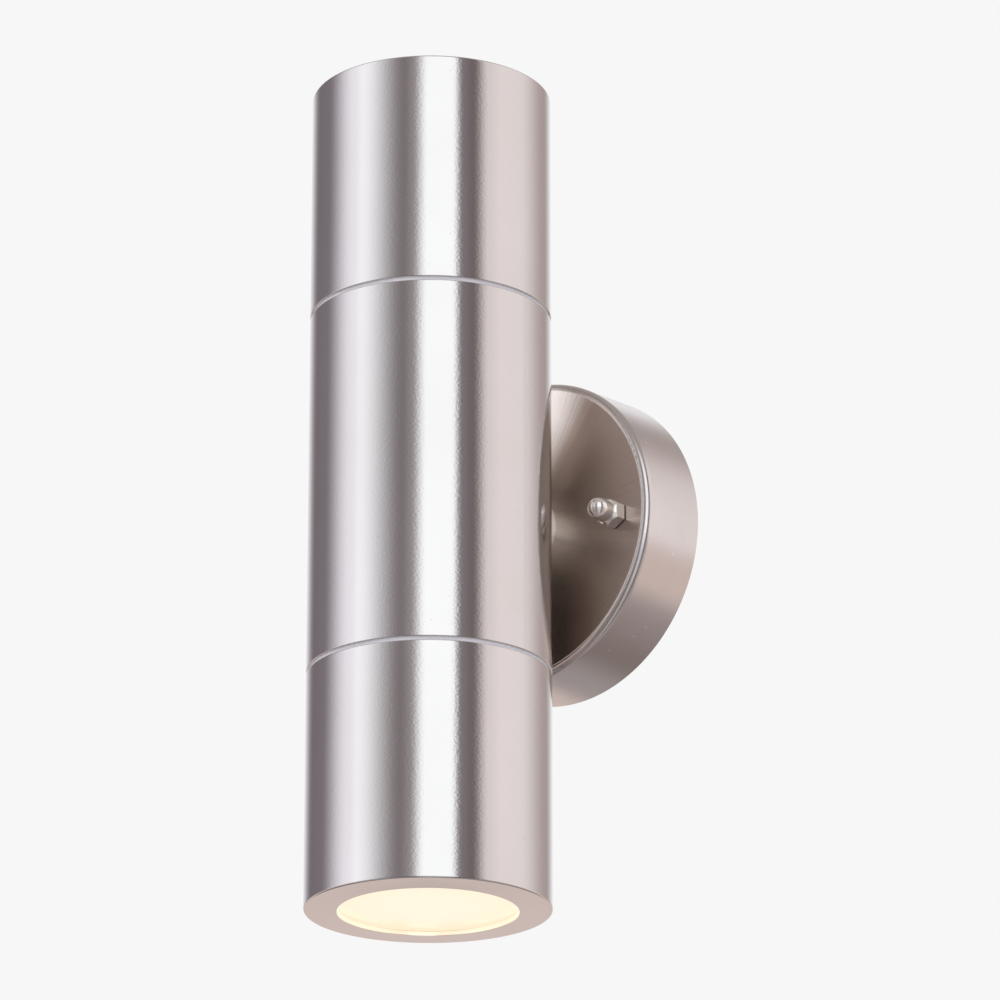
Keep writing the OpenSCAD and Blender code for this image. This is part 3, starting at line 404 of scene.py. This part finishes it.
def noiseOn(tree, place, scale, detail=3.0, roughness=0.5):
    return addNode(tree, "ShaderNodeTexNoise", {"Vector": place, "Scale": scale, "Detail": detail,
                                                "Roughness": roughness}).outputs["Fac"]


def grainOn(tree, place, scale, stretch):
    mapped = addNode(tree, "ShaderNodeMapping", {"Vector": place, "Scale": stretch}).outputs[0]
    return noiseOn(tree, mapped, scale, roughness=grainRoughness)


def bumpOn(tree, height, depth, below=None):
    values = {"Strength": 1.0, "Distance": depth, "Height": height}
    if below:
        values["Normal"] = below
    return addNode(tree, "ShaderNodeBump", values).outputs[0]


def platePlaces(tree, place, spec):
    # the turned face lies further from the wall than depth, and the painted highlight line is at its edge
    parts = addNode(tree, "ShaderNodeSeparateXYZ", {0: place}).outputs
    flat = addNode(tree, "ShaderNodeCombineXYZ", {0: parts[0], 1: 0.0, 2: parts[2]}).outputs[0]
    outward = combine(tree, "NORMALIZE", flat)
    reach = lengthOf(tree, flat)
    front = calculate(tree, "LESS_THAN", parts[1], -spec["depth"])
    face = calculate(tree, "MULTIPLY", front,
                     spread(tree, reach, spec["radius"], spec["radius"] - spec["line"]))
    off = calculate(tree, "ABSOLUTE", calculate(tree, "SUBTRACT", reach, spec["radius"]))
    line = spread(tree, off, spec["line"], spec["line"] * spec["lineCore"])
    fan = spec["fan"]
    angle = calculate(tree, "ARCTAN2", parts[2], parts[0])
    away = calculate(tree, "ABSOLUTE", calculate(tree, "SUBTRACT", angle, math.radians(fan["middle"])))
    ragged = noiseOn(tree, outward, spec["streaks"])
    away = calculate(tree, "ADD", away, calculate(tree, "MULTIPLY", ragged, fan["ragged"]))
    sector = easedSpread(tree, away, math.radians(fan["half"] + fan["soft"]),
                         math.radians(fan["half"] - fan["soft"]))
    sector = calculate(tree, "MULTIPLY", sector, spread(tree, reach, fan["start"], fan["full"]))
    return {"face": face, "fan": calculate(tree, "MULTIPLY", sector, face),
            "line": calculate(tree, "MULTIPLY", front, line), "outward": outward}


def dressPlate(tree, shader, place, color, rough, spec):
    # streaks run outward over the turned face, whose colour is darkened as painted shade; its edge line and
    # fan are painted highlights, lighter and duller, and the fan glows
    at = platePlaces(tree, place, spec)
    fan = spec["fan"]
    streaks = noiseOn(tree, at["outward"], spec["streaks"], *spec["streakNoise"])
    shade = spread(tree, streaks, *grainRange, 1 - spec["streakDepth"], 1 + spec["streakDepth"])
    gray = addNode(tree, "ShaderNodeCombineXYZ", {0: shade, 1: shade, 2: shade}).outputs[0]
    turned = combine(tree, "MULTIPLY", spec["color"], gray)
    turned = mixColors(tree, at["fan"], turned, (*fan["color"], 1))
    color = mixColors(tree, at["face"], color, turned)
    color = mixColors(tree, at["line"], color, (*spec["paintedLineColor"], 1))
    rough = addNode(tree, "ShaderNodeMix", {0: at["face"], 2: rough, 3: spec["roughness"]}).outputs[0]
    tree.links.new(calculate(tree, "MULTIPLY", at["face"], spec["stretch"]),
                   shader.inputs["Anisotropic"])
    tree.links.new(at["outward"], shader.inputs["Tangent"])
    dull = calculate(tree, "MAXIMUM", calculate(tree, "MULTIPLY", at["line"], spec["lineDull"]),
                     calculate(tree, "MULTIPLY", at["fan"], fan["dull"]))
    tree.links.new(calculate(tree, "SUBTRACT", 1.0, dull), shader.inputs["Metallic"])
    # fine brush marks break up the fan's painted glint
    brush = noiseOn(tree, at["outward"], fan["brush"])
    brush = calculate(tree, "MULTIPLY", calculate(tree, "SUBTRACT", brush, 0.5), fan["brushDepth"])
    brush = calculate(tree, "MAXIMUM", calculate(tree, "ADD", brush, 1.0), fan["brushLeast"])
    glint = calculate(tree, "MULTIPLY", calculate(tree, "MULTIPLY", at["fan"], brush), fan["glint"])
    shader.inputs["Emission Color"].default_value = (*fan["color"], 1)
    tree.links.new(glint, shader.inputs["Emission Strength"])
    return color, rough


def scratch(tree, place, rough, spec):
    # long thin marks round the piece, rougher than the rest
    scale, stretch, levels, extra = spec
    marks = spread(tree, grainOn(tree, place, scale, stretch), *levels)
    return calculate(tree, "ADD", rough, calculate(tree, "MULTIPLY", marks, extra))


def speckle(tree, place, color, spec):
    # few small marks: one cell in some has a dot at its middle
    scale, size, rarity, tint = spec
    cell = addNode(tree, "ShaderNodeTexVoronoi", {"Vector": place, "Scale": scale}).outputs
    drawn = addNode(tree, "ShaderNodeSeparateColor", {0: cell["Color"]}).outputs[0]
    picked = calculate(tree, "GREATER_THAN", drawn, rarity)
    dot = spread(tree, cell["Distance"], size * 2, size)
    return mixColors(tree, calculate(tree, "MULTIPLY", dot, picked), color, (*tint, 1))


def fadeGlow(tree, shader, middle, spec):
    # the glow changes from the middle's colour to the edge's, outward from the tube's axis
    edge, start, end = spec
    place = addNode(tree, "ShaderNodeTexCoord").outputs["Object"]
    across = combine(tree, "MULTIPLY", combine(tree, "SUBTRACT", place, tuple(tubeAxis)), (1, 1, 0))
    rim = easedSpread(tree, lengthOf(tree, across), start, end)
    tree.links.new(mixColors(tree, rim, (*middle, 1), (*edge, 1)), shader.inputs["Emission Color"])


def paintedLipLight(tree, shader, place, spec):
    # painted light: the lip's inner wall, which lies within the radius and further along the tube than the
    # height, glows as if the lamp lit it
    radius, height, glow = spec
    along = addNode(tree, "ShaderNodeSeparateXYZ", {0: place}).outputs[2]
    reach = lengthOf(tree, combine(tree, "MULTIPLY", place, (1, 1, 0)))
    lit = calculate(tree, "MULTIPLY", calculate(tree, "LESS_THAN", reach, radius),
                    calculate(tree, "GREATER_THAN", calculate(tree, "ABSOLUTE", along), height))
    shader.inputs["Emission Color"].default_value = (*glow, 1)
    tree.links.new(lit, shader.inputs["Emission Strength"])


def makeFinish(name, spec):
    material = bpy.data.materials.new(name)
    material.use_nodes = True
    tree = material.node_tree
    shader = tree.nodes["Principled BSDF"]
    shader.inputs["Metallic"].default_value = spec["metallic"]
    place = addNode(tree, "ShaderNodeMapping",
                    {"Vector": addNode(tree, "ShaderNodeTexCoord").outputs["Object"],
                     "Location": [-c for c in spec["center"]]}).outputs[0]
    patches = grainOn(tree, place, spec["patches"], (1, 1, 1))
    share = spread(tree, patches, *patchRange)
    if spec.get("striped"):
        share = calculate(tree, "GREATER_THAN", patches, 0.5)
    color = mixColors(tree, share, (*spec["color"], 1), (*spec["second"], 1))
    scale, stretch, depth = spec["grain"]
    grain = grainOn(tree, place, scale, stretch)
    rough = spread(tree, grain, *grainRange, *spec["roughness"])
    relief = bumpOn(tree, grain, depth)
    for layer in ("fine", "waves"):
        if layer in spec:
            scale, stretch, depth = spec[layer]
            relief = bumpOn(tree, grainOn(tree, place, scale, stretch), depth, relief)
    if "scratches" in spec:
        rough = scratch(tree, place, rough, spec["scratches"])
    if "specks" in spec:
        color = speckle(tree, place, color, spec["specks"])
    if "plate" in spec:
        color, rough = dressPlate(tree, shader, place, color, rough, spec["plate"])
    tree.links.new(color, shader.inputs["Base Color"])
    tree.links.new(rough, shader.inputs["Roughness"])
    tree.links.new(relief, shader.inputs["Normal"])
    # the lamp's lens and glass glow; on turned_steel the glow is a painted highlight
    if "glow" in spec:
        glow, strength = spec["glow"]
        shader.inputs["Emission Color"].default_value = (*glow, 1)
        shader.inputs["Emission Strength"].default_value = strength
    if "edgeGlow" in spec:
        fadeGlow(tree, shader, spec["glow"][0], spec["edgeGlow"])
    if "lip" in spec:
        paintedLipLight(tree, shader, place, spec["lip"])
    if "coat" in spec:
        weight, roughness = spec["coat"]
        shader.inputs["Coat Weight"].default_value = weight
        shader.inputs["Coat Roughness"].default_value = roughness
    return material


finishes = {name: makeFinish(name, spec) for name, spec in finishSpecs.items()}
for part in frame["record"]["subparts"]:
    slots = nodes[part["node"]].data.materials
    slots.clear()
    slots.append(finishes[part["material_slot"]])
print("finishes done:", len(finishes))


# Shapes that follow a rule. Each tree has named inputs, and setting them goes by identifier.

# How close two points are to be merged, in metres, and the bends that stay sharp, in degrees
mergeDistance = 2e-7
spunCrease, ridgeCrease = 32, 50
# The radius of the circle that a spun profile follows, in metres. It changes no shape
railRadius = 0.010


def startTree(name, inputs):
    tree = bpy.data.node_groups.new(name, "GeometryNodeTree")
    tree.interface.new_socket("Geometry", in_out="INPUT", socket_type="NodeSocketGeometry")
    sockets = {label: tree.interface.new_socket(label, in_out="INPUT",
                                                socket_type="NodeSocket" + kind).identifier
               for label, kind in inputs}
    tree.interface.new_socket("Geometry", in_out="OUTPUT", socket_type="NodeSocketGeometry")
    return tree, sockets, tree.nodes.new("NodeGroupInput").outputs


def endTree(tree, geometry, given):
    real = addNode(tree, "GeometryNodeRealizeInstances", {0: geometry}).outputs[0]
    dressed = addNode(tree, "GeometryNodeSetMaterial", {"Geometry": real, "Material": given["Material"]})
    tree.links.new(dressed.outputs[0], tree.nodes.new("NodeGroupOutput").inputs[0])


def shadeTree(tree, mesh, crease):
    smooth = addNode(tree, "GeometryNodeSetShadeSmooth", {"Geometry": mesh}, domain="FACE").outputs[0]
    angle = addNode(tree, "GeometryNodeInputMeshEdgeAngle").outputs[0]
    sharp = addNode(tree, "FunctionNodeCompare", {0: angle, 1: crease}, operation="GREATER_THAN").outputs[0]
    return addNode(tree, "GeometryNodeSetShadeSmooth",
                   {"Geometry": smooth, "Selection": sharp, "Shade Smooth": False},
                   domain="EDGE").outputs[0]


def runTree(name, outline, built, values):
    # outline is the flat profile that the tree starts from, or None
    tree, sockets = built
    mesh = bpy.data.meshes.new(name)
    if outline:
        points, closed = outline
        edges = [(i, i + 1) for i in range(len(points) - 1)]
        if closed:
            edges.append((len(points) - 1, 0))
        mesh.from_pydata([(x, y, 0) for x, y in points], edges, [])
    source = bpy.data.objects.new(name, mesh)
    scene.collection.objects.link(source)
    modifier = source.modifiers.new(name, "NODES")
    modifier.node_group = tree
    for label, value in values.items():
        modifier[sockets[label]] = value
    bpy.context.view_layer.update()
    made = bpy.data.meshes.new_from_object(source.evaluated_get(bpy.context.evaluated_depsgraph_get()))
    made.name = name
    source.modifiers.remove(modifier)
    bpy.data.objects.remove(source)
    return made


def joinMeshes(name, placed):
    # placed is (mesh, matrix) pairs; the result is one closed mesh with its faces outwards
    shape = bmesh.new()
    materials = []
    for mesh, matrix in placed:
        part = bmesh.new()
        part.from_mesh(mesh)
        bmesh.ops.remove_doubles(part, verts=part.verts, dist=mergeDistance)
        part.transform(matrix)
        bmesh.ops.recalc_face_normals(part, faces=part.faces)
        passed = bpy.data.meshes.new("passed")
        part.to_mesh(passed)
        part.free()
        shape.from_mesh(passed)
        bpy.data.meshes.remove(passed)
        materials = materials or list(mesh.materials)
    joined = bpy.data.meshes.new(name)
    shape.to_mesh(joined)
    opened = sum(edge.is_boundary for edge in shape.edges)
    shape.free()
    for material in materials:
        joined.materials.append(material)
    print(name, "faces", len(joined.polygons), "open edges", opened)
    return joined


def placePiece(mesh, body, slotName, *replaced):
    piece = bpy.data.objects.new(mesh.name, mesh)
    scene.collection.objects.link(piece)
    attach(piece, body)
    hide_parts(*replaced)


def makeSpunTree():
    # turns a flat profile round an upright axis, with shallow ribs between two heights
    tree, sockets, given = startTree("spunShape", [
        ("Rail Radius", "Float"), ("Segments", "Int"), ("Crease", "Float"), ("Rib Count", "Int"),
        ("Rib Depth", "Float"), ("Rib Low", "Float"), ("Rib High", "Float"), ("Material", "Material")])
    profile = addNode(tree, "GeometryNodeMeshToCurve", {0: given["Geometry"]}).outputs[0]
    rail = addNode(tree, "GeometryNodeCurvePrimitiveCircle",
                   {"Resolution": given["Segments"], "Radius": given["Rail Radius"]}).outputs[0]
    spun = addNode(tree, "GeometryNodeCurveToMesh", {"Curve": rail, "Profile Curve": profile}).outputs[0]
    spun = addNode(tree, "GeometryNodeMergeByDistance", {0: spun, "Distance": mergeDistance}).outputs[0]
    at = addNode(tree, "GeometryNodeInputPosition").outputs[0]
    parts = addNode(tree, "ShaderNodeSeparateXYZ", {0: at}).outputs
    angle = calculate(tree, "ARCTAN2", parts[1], parts[0])
    wave = calculate(tree, "COSINE", calculate(tree, "MULTIPLY", angle, given["Rib Count"]))
    wave = calculate(tree, "MULTIPLY_ADD", wave, -0.5, 0.5)
    span = calculate(tree, "SUBTRACT", given["Rib High"], given["Rib Low"])
    along = calculate(tree, "DIVIDE", calculate(tree, "SUBTRACT", parts[2], given["Rib Low"]), span)
    along = addNode(tree, "ShaderNodeClamp", {0: along}).outputs[0]
    swell = calculate(tree, "SINE", calculate(tree, "MULTIPLY", along, math.pi))
    depth = calculate(tree, "MULTIPLY", calculate(tree, "MULTIPLY", wave, swell), given["Rib Depth"])
    outward = combine(tree, "NORMALIZE", combine(tree, "MULTIPLY", at, (1, 1, 0)))
    inward = calculate(tree, "MULTIPLY", depth, -1.0)
    shift = addNode(tree, "ShaderNodeVectorMath", {0: outward, "Scale": inward}, operation="SCALE")
    spun = addNode(tree, "GeometryNodeSetPosition",
                   {"Geometry": spun, "Offset": shift.outputs[0]}).outputs[0]
    endTree(tree, shadeTree(tree, spun, given["Crease"]), given)
    return tree, sockets


spunTree = makeSpunTree()


def spin(name, points, closed, segments, material, ribs=None):
    # points are (radius, height) in metres
    ribs = ribs or {"count": 1, "depth": 0.0, "low": 0.0, "high": 1.0}
    outline = [(radius - railRadius, -height) for radius, height in points]
    return runTree(name, (outline, closed), spunTree, {
        "Rail Radius": railRadius, "Segments": segments, "Crease": math.radians(spunCrease),
        "Rib Count": ribs["count"], "Rib Depth": ribs["depth"], "Rib Low": ribs["low"],
        "Rib High": ribs["high"], "Material": finishes[material]})


def bend(middle, radius, start, end, steps):
    # points of an arc between two angles in degrees
    turns = [math.radians(start + (end - start) * i / steps) for i in range(steps + 1)]
    return [(middle[0] + radius * math.cos(turn), middle[1] + radius * math.sin(turn)) for turn in turns]


# End caps

capSpec = {
    "wall": 0.0012, "lip": 0.0012, "mouth": 0.0218, "edge": 0.0004, "slope": 3.0,
    "seamEdge": 0.0002, "mouthEdge": 0.00025, "segments": 288,
    # steps of the rounded edges, and where rings of points lie on the wall, as shares of its length
    "seamSteps": 5, "edgeSteps": 8, "mouthSteps": 6, "wallShares": (0.01, 0.2, 0.4, 0.6, 0.8, 0.99),
}


def capProfile(spec, radius, start, end):
    slope = math.radians(spec["slope"])
    edge, mouth, fine = spec["edge"], spec["mouth"], spec["mouthEdge"]
    faceX = radius - edge + edge * math.sin(slope)
    faceY = end - (faceX - mouth) * math.tan(slope)
    edgeY = faceY - edge * math.cos(slope)
    bore, inner = radius - spec["wall"], end - spec["lip"]
    seam = spec["seamEdge"]
    points = [(bore, start), (radius - seam, start)]
    points += bend((radius - seam, start + seam), seam, -90, 0, spec["seamSteps"])
    rise = edgeY - start
    points += [(radius, start + rise * share) for share in spec["wallShares"]]
    points += bend((radius - edge, edgeY), edge, 0, 90 - spec["slope"], spec["edgeSteps"])
    # rings beside the rounded edges keep the flat face flat in its shading
    for x in (faceX - fine / 2, mouth + 2 * fine):
        points.append((x, end - (x - mouth) * math.tan(slope)))
    points += bend((mouth + fine, end - fine), fine, 90 + spec["slope"], 180, spec["mouthSteps"])
    points += [(mouth, inner), (bore, inner)]
    return points


for body, side in (("upper_cap", 1), ("lower_cap", -1)):
    low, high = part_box(body)
    near, far = sorted((abs(low.z), abs(high.z)))
    profile = capProfile(capSpec, (high.x - low.x) / 2, near, far)
    outline = [(radius, side * height) for radius, height in profile]
    spun = spin(body + "Shell", outline, True, capSpec["segments"], "brushed_tube")
    shell = joinMeshes(body + "Shell", [(spun, Matrix.Translation(tubeAxis))])
    placePiece(shell, body, "brushed_tube", body)
print("end caps done")


# Lamps

lampSpec = {
    "neck": 0.0122, "neckLength": 0.011, "rimLength": 0.004, "segments": 240, "steps": 20,
    "lensThickness": 0.0025, "lensSink": 0.0004, "lensRim": 0.0014, "seat": 0.00005, "ease": 0.0003,
    "easeSteps": 4, "lensSegments": 128,
    # cooling ribs on the bowl: how many, how deep, and the share of the lamp's length they cover
    "ribCount": 30, "ribDepth": 0.0009, "ribLow": 0.26, "ribHigh": 0.88,
    # dimples on the lens
    "dimplePitch": 0.0022, "dimpleRadius": 0.00095, "dimpleHeight": 0.0003, "dimpleRows": 25,
    "dimpleSegments": 10, "dimpleRings": 5,
}


def makeDimpleTree():
    # low domes in a honeycomb over a disc
    tree, sockets, given = startTree("lensDimples", [
        ("Rows", "Int"), ("Pitch", "Float"), ("Reach", "Float"), ("Dome Radius", "Float"),
        ("Dome Height", "Float"), ("Dome Segments", "Int"), ("Dome Rings", "Int"),
        ("Material", "Material")])
    rowPitch = calculate(tree, "MULTIPLY", given["Pitch"], math.sqrt(0.75))
    spaces = calculate(tree, "SUBTRACT", given["Rows"], 1)
    grid = addNode(tree, "GeometryNodeMeshGrid",
                   {"Size X": calculate(tree, "MULTIPLY", spaces, given["Pitch"]),
                    "Size Y": calculate(tree, "MULTIPLY", spaces, rowPitch),
                    "Vertices X": given["Rows"], "Vertices Y": given["Rows"]}).outputs[0]
    at = addNode(tree, "GeometryNodeInputPosition").outputs[0]
    rowAt = addNode(tree, "ShaderNodeSeparateXYZ", {0: at}).outputs[1]
    row = calculate(tree, "ROUND", calculate(tree, "DIVIDE", rowAt, rowPitch))
    odd = calculate(tree, "ABSOLUTE", calculate(tree, "MODULO", row, 2.0))
    aside = calculate(tree, "MULTIPLY", calculate(tree, "MULTIPLY", odd, given["Pitch"]), 0.5)
    grid = addNode(tree, "GeometryNodeSetPosition",
                   {"Geometry": grid,
                    "Offset": addNode(tree, "ShaderNodeCombineXYZ", {0: aside}).outputs[0]}).outputs[0]
    within = addNode(tree, "FunctionNodeCompare", {0: lengthOf(tree, at), 1: given["Reach"]},
                     operation="LESS_THAN").outputs[0]
    dome = addNode(tree, "GeometryNodeMeshUVSphere",
                   {"Segments": given["Dome Segments"], "Rings": given["Dome Rings"],
                    "Radius": given["Dome Radius"]}).outputs[0]
    flatness = calculate(tree, "DIVIDE", given["Dome Height"], given["Dome Radius"])
    squash = addNode(tree, "ShaderNodeCombineXYZ", {0: 1.0, 1: 1.0, 2: flatness}).outputs[0]
    domes = addNode(tree, "GeometryNodeInstanceOnPoints",
                    {"Points": grid, "Selection": within, "Instance": dome, "Scale": squash}).outputs[0]
    real = addNode(tree, "GeometryNodeRealizeInstances", {0: domes}).outputs[0]
    endTree(tree, addNode(tree, "GeometryNodeSetShadeSmooth", {"Geometry": real}).outputs[0], given)
    return tree, sockets


dimpleTree = makeDimpleTree()


def lampProfile(spec, radius, base, front):
    low, high = base + spec["neckLength"], front - spec["rimLength"]
    ease, seat = spec["ease"], radius - spec["lensRim"]
    floor = front - spec["lensSink"] - spec["lensThickness"]
    points = [(0, base), (spec["neck"] - 2 * ease, base)]
    points += bend((spec["neck"] - ease, base + ease), ease, -90, 0, spec["easeSteps"])
    for i in range(spec["steps"] + 1):
        turn = math.pi / 2 * i / spec["steps"]
        points.append((spec["neck"] + (radius - spec["neck"]) * math.sin(turn),
                       low + (high - low) * (1 - math.cos(turn))))
    points += bend((radius - ease, front - ease), ease, 0, 90, spec["easeSteps"])
    return points + [(seat, front), (seat, floor), (0, floor)]


for body, side in (("upper_lamp", 1), ("lower_lamp", -1)):
    spec = lampSpec
    low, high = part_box(body + "_body")
    base, front = sorted((abs(low.z), abs(high.z)))
    radius, length = (high.x - low.x) / 2, front - base
    place = Matrix.Translation(tubeAxis) @ Matrix.Diagonal((1, 1, side, 1))
    bowl = spin(body + "Bowl", lampProfile(spec, radius, base, front), False, spec["segments"],
                "lamp_white", {"count": spec["ribCount"], "depth": spec["ribDepth"],
                               "low": base + spec["ribLow"] * length,
                               "high": base + spec["ribHigh"] * length})
    placePiece(joinMeshes(body + "Bowl", [(bowl, place)]), body, "lamp_white", body + "_body")
    rim, face = radius - spec["lensRim"] - spec["seat"], front - spec["lensSink"]
    back, ease = face - spec["lensThickness"], spec["ease"]
    disc = spin(body + "Lens", [(0, back), (rim - ease, back), (rim, back + ease), (rim, face - ease),
                                (rim - ease, face), (0, face)], False, spec["lensSegments"], "lamp_lens")
    domes = runTree(body + "Dimples", None, dimpleTree, {
        "Rows": spec["dimpleRows"], "Pitch": spec["dimplePitch"], "Reach": rim - spec["dimplePitch"],
        "Dome Radius": spec["dimpleRadius"], "Dome Height": spec["dimpleHeight"],
        "Dome Segments": spec["dimpleSegments"], "Dome Rings": spec["dimpleRings"],
        "Material": finishes["lamp_lens"]})
    lens = joinMeshes(body + "Lens", [(disc, place), (domes, place @ Matrix.Translation((0, 0, face)))])
    placePiece(lens, body, "lamp_lens", body + "_lens")
print("lamps done")


# Threads. A ridge starts and ends some turns inside its core's ends.

threadSpecs = {
    "bracket_studs": {"radius": 0.00175, "pitch": 0.0006, "depth": 0.00019, "segments": 32,
                      "head": 0.0028, "headHeight": 0.001, "ease": 0.0002,
                      "startTurns": 0.5, "endTurns": 1.2},
    "nipple": {"radius": 0.005, "bore": 0.004, "pitch": 0.001, "depth": 0.00030, "segments": 64,
               "ease": 0.0003, "startTurns": 0.8, "endTurns": 0.8},
}
# A ridge's radius as a share of the thread's depth, and the sides of its section
ridgeShare, ridgeSides = 0.97, 6


def makeThreadTree():
    # one ridge that winds along an upright axis
    tree, sockets, given = startTree("threadRidge", [
        ("Radius", "Float"), ("Pitch", "Float"), ("Turns", "Float"), ("Ridge", "Float"),
        ("Points", "Int"), ("Material", "Material")])
    path = addNode(tree, "GeometryNodeCurveSpiral", {
        "Resolution": given["Points"], "Rotations": given["Turns"], "Start Radius": given["Radius"],
        "End Radius": given["Radius"],
        "Height": calculate(tree, "MULTIPLY", given["Turns"], given["Pitch"])}).outputs[0]
    edge = addNode(tree, "GeometryNodeCurvePrimitiveCircle",
                   {"Resolution": ridgeSides, "Radius": given["Ridge"]}).outputs[0]
    ridge = addNode(tree, "GeometryNodeCurveToMesh",
                    {"Curve": path, "Profile Curve": edge, "Fill Caps": True}).outputs[0]
    endTree(tree, shadeTree(tree, ridge, math.radians(ridgeCrease)), given)
    return tree, sockets


threadTree = makeThreadTree()


def wind(name, spec, low, high, material):
    start = low + spec["startTurns"] * spec["pitch"]
    end = high - spec["endTurns"] * spec["pitch"]
    ridge = runTree(name, None, threadTree, {
        "Radius": spec["radius"] - spec["depth"], "Pitch": spec["pitch"],
        "Turns": (end - start) / spec["pitch"], "Ridge": spec["depth"] * ridgeShare,
        "Points": spec["segments"], "Material": finishes[material]})
    return ridge, Matrix.Translation((0, 0, start))


slotOf = {part["node"]: part["material_slot"] for part in frame["record"]["subparts"]}
towardRoom = Matrix.Rotation(math.pi / 2, 4, "X")

spec = threadSpecs["bracket_studs"]
low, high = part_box("bracket_studs")
length, ease, core = high.y - low.y, spec["ease"], spec["radius"] - spec["depth"]
material = slotOf["bracket_studs"]
shaft = spin("stud", [(0, 0), (spec["head"] - ease, 0), (spec["head"], ease),
                      (spec["head"], spec["headHeight"] - ease), (spec["head"] - ease, spec["headHeight"]),
                      (core, spec["headHeight"]), (core, length - 2 * ease), (core - 2 * ease, length),
                      (0, length)], False, spec["segments"], material)
ridge, lift = wind("studThread", spec, spec["headHeight"], length, material)
placed = []
for side in (-1, 1):
    at = Matrix.Translation((side * (high.x - spec["head"]), high.y, (low.z + high.z) / 2)) @ towardRoom
    placed += [(shaft, at), (ridge, at @ lift)]
placePiece(joinMeshes("threadedStuds", placed), "fixture", material, "bracket_studs")

spec = threadSpecs["nipple"]
low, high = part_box("nipple")
length, ease, core = high.y - low.y, spec["ease"], spec["radius"] - spec["depth"]
material = slotOf["nipple"]
tube = spin("nippleCore", [(spec["bore"], 0), (core - ease, 0), (core, ease), (core, length - ease),
                           (core - ease, length), (spec["bore"], length)], True, spec["segments"], material)
ridge, lift = wind("nippleThread", spec, 0, length, material)
at = Matrix.Translation((0, high.y, 0)) @ towardRoom
placePiece(joinMeshes("threadedNipple", [(tube, at), (ridge, at @ lift)]), "fixture", material, "nipple")
print("threads done")
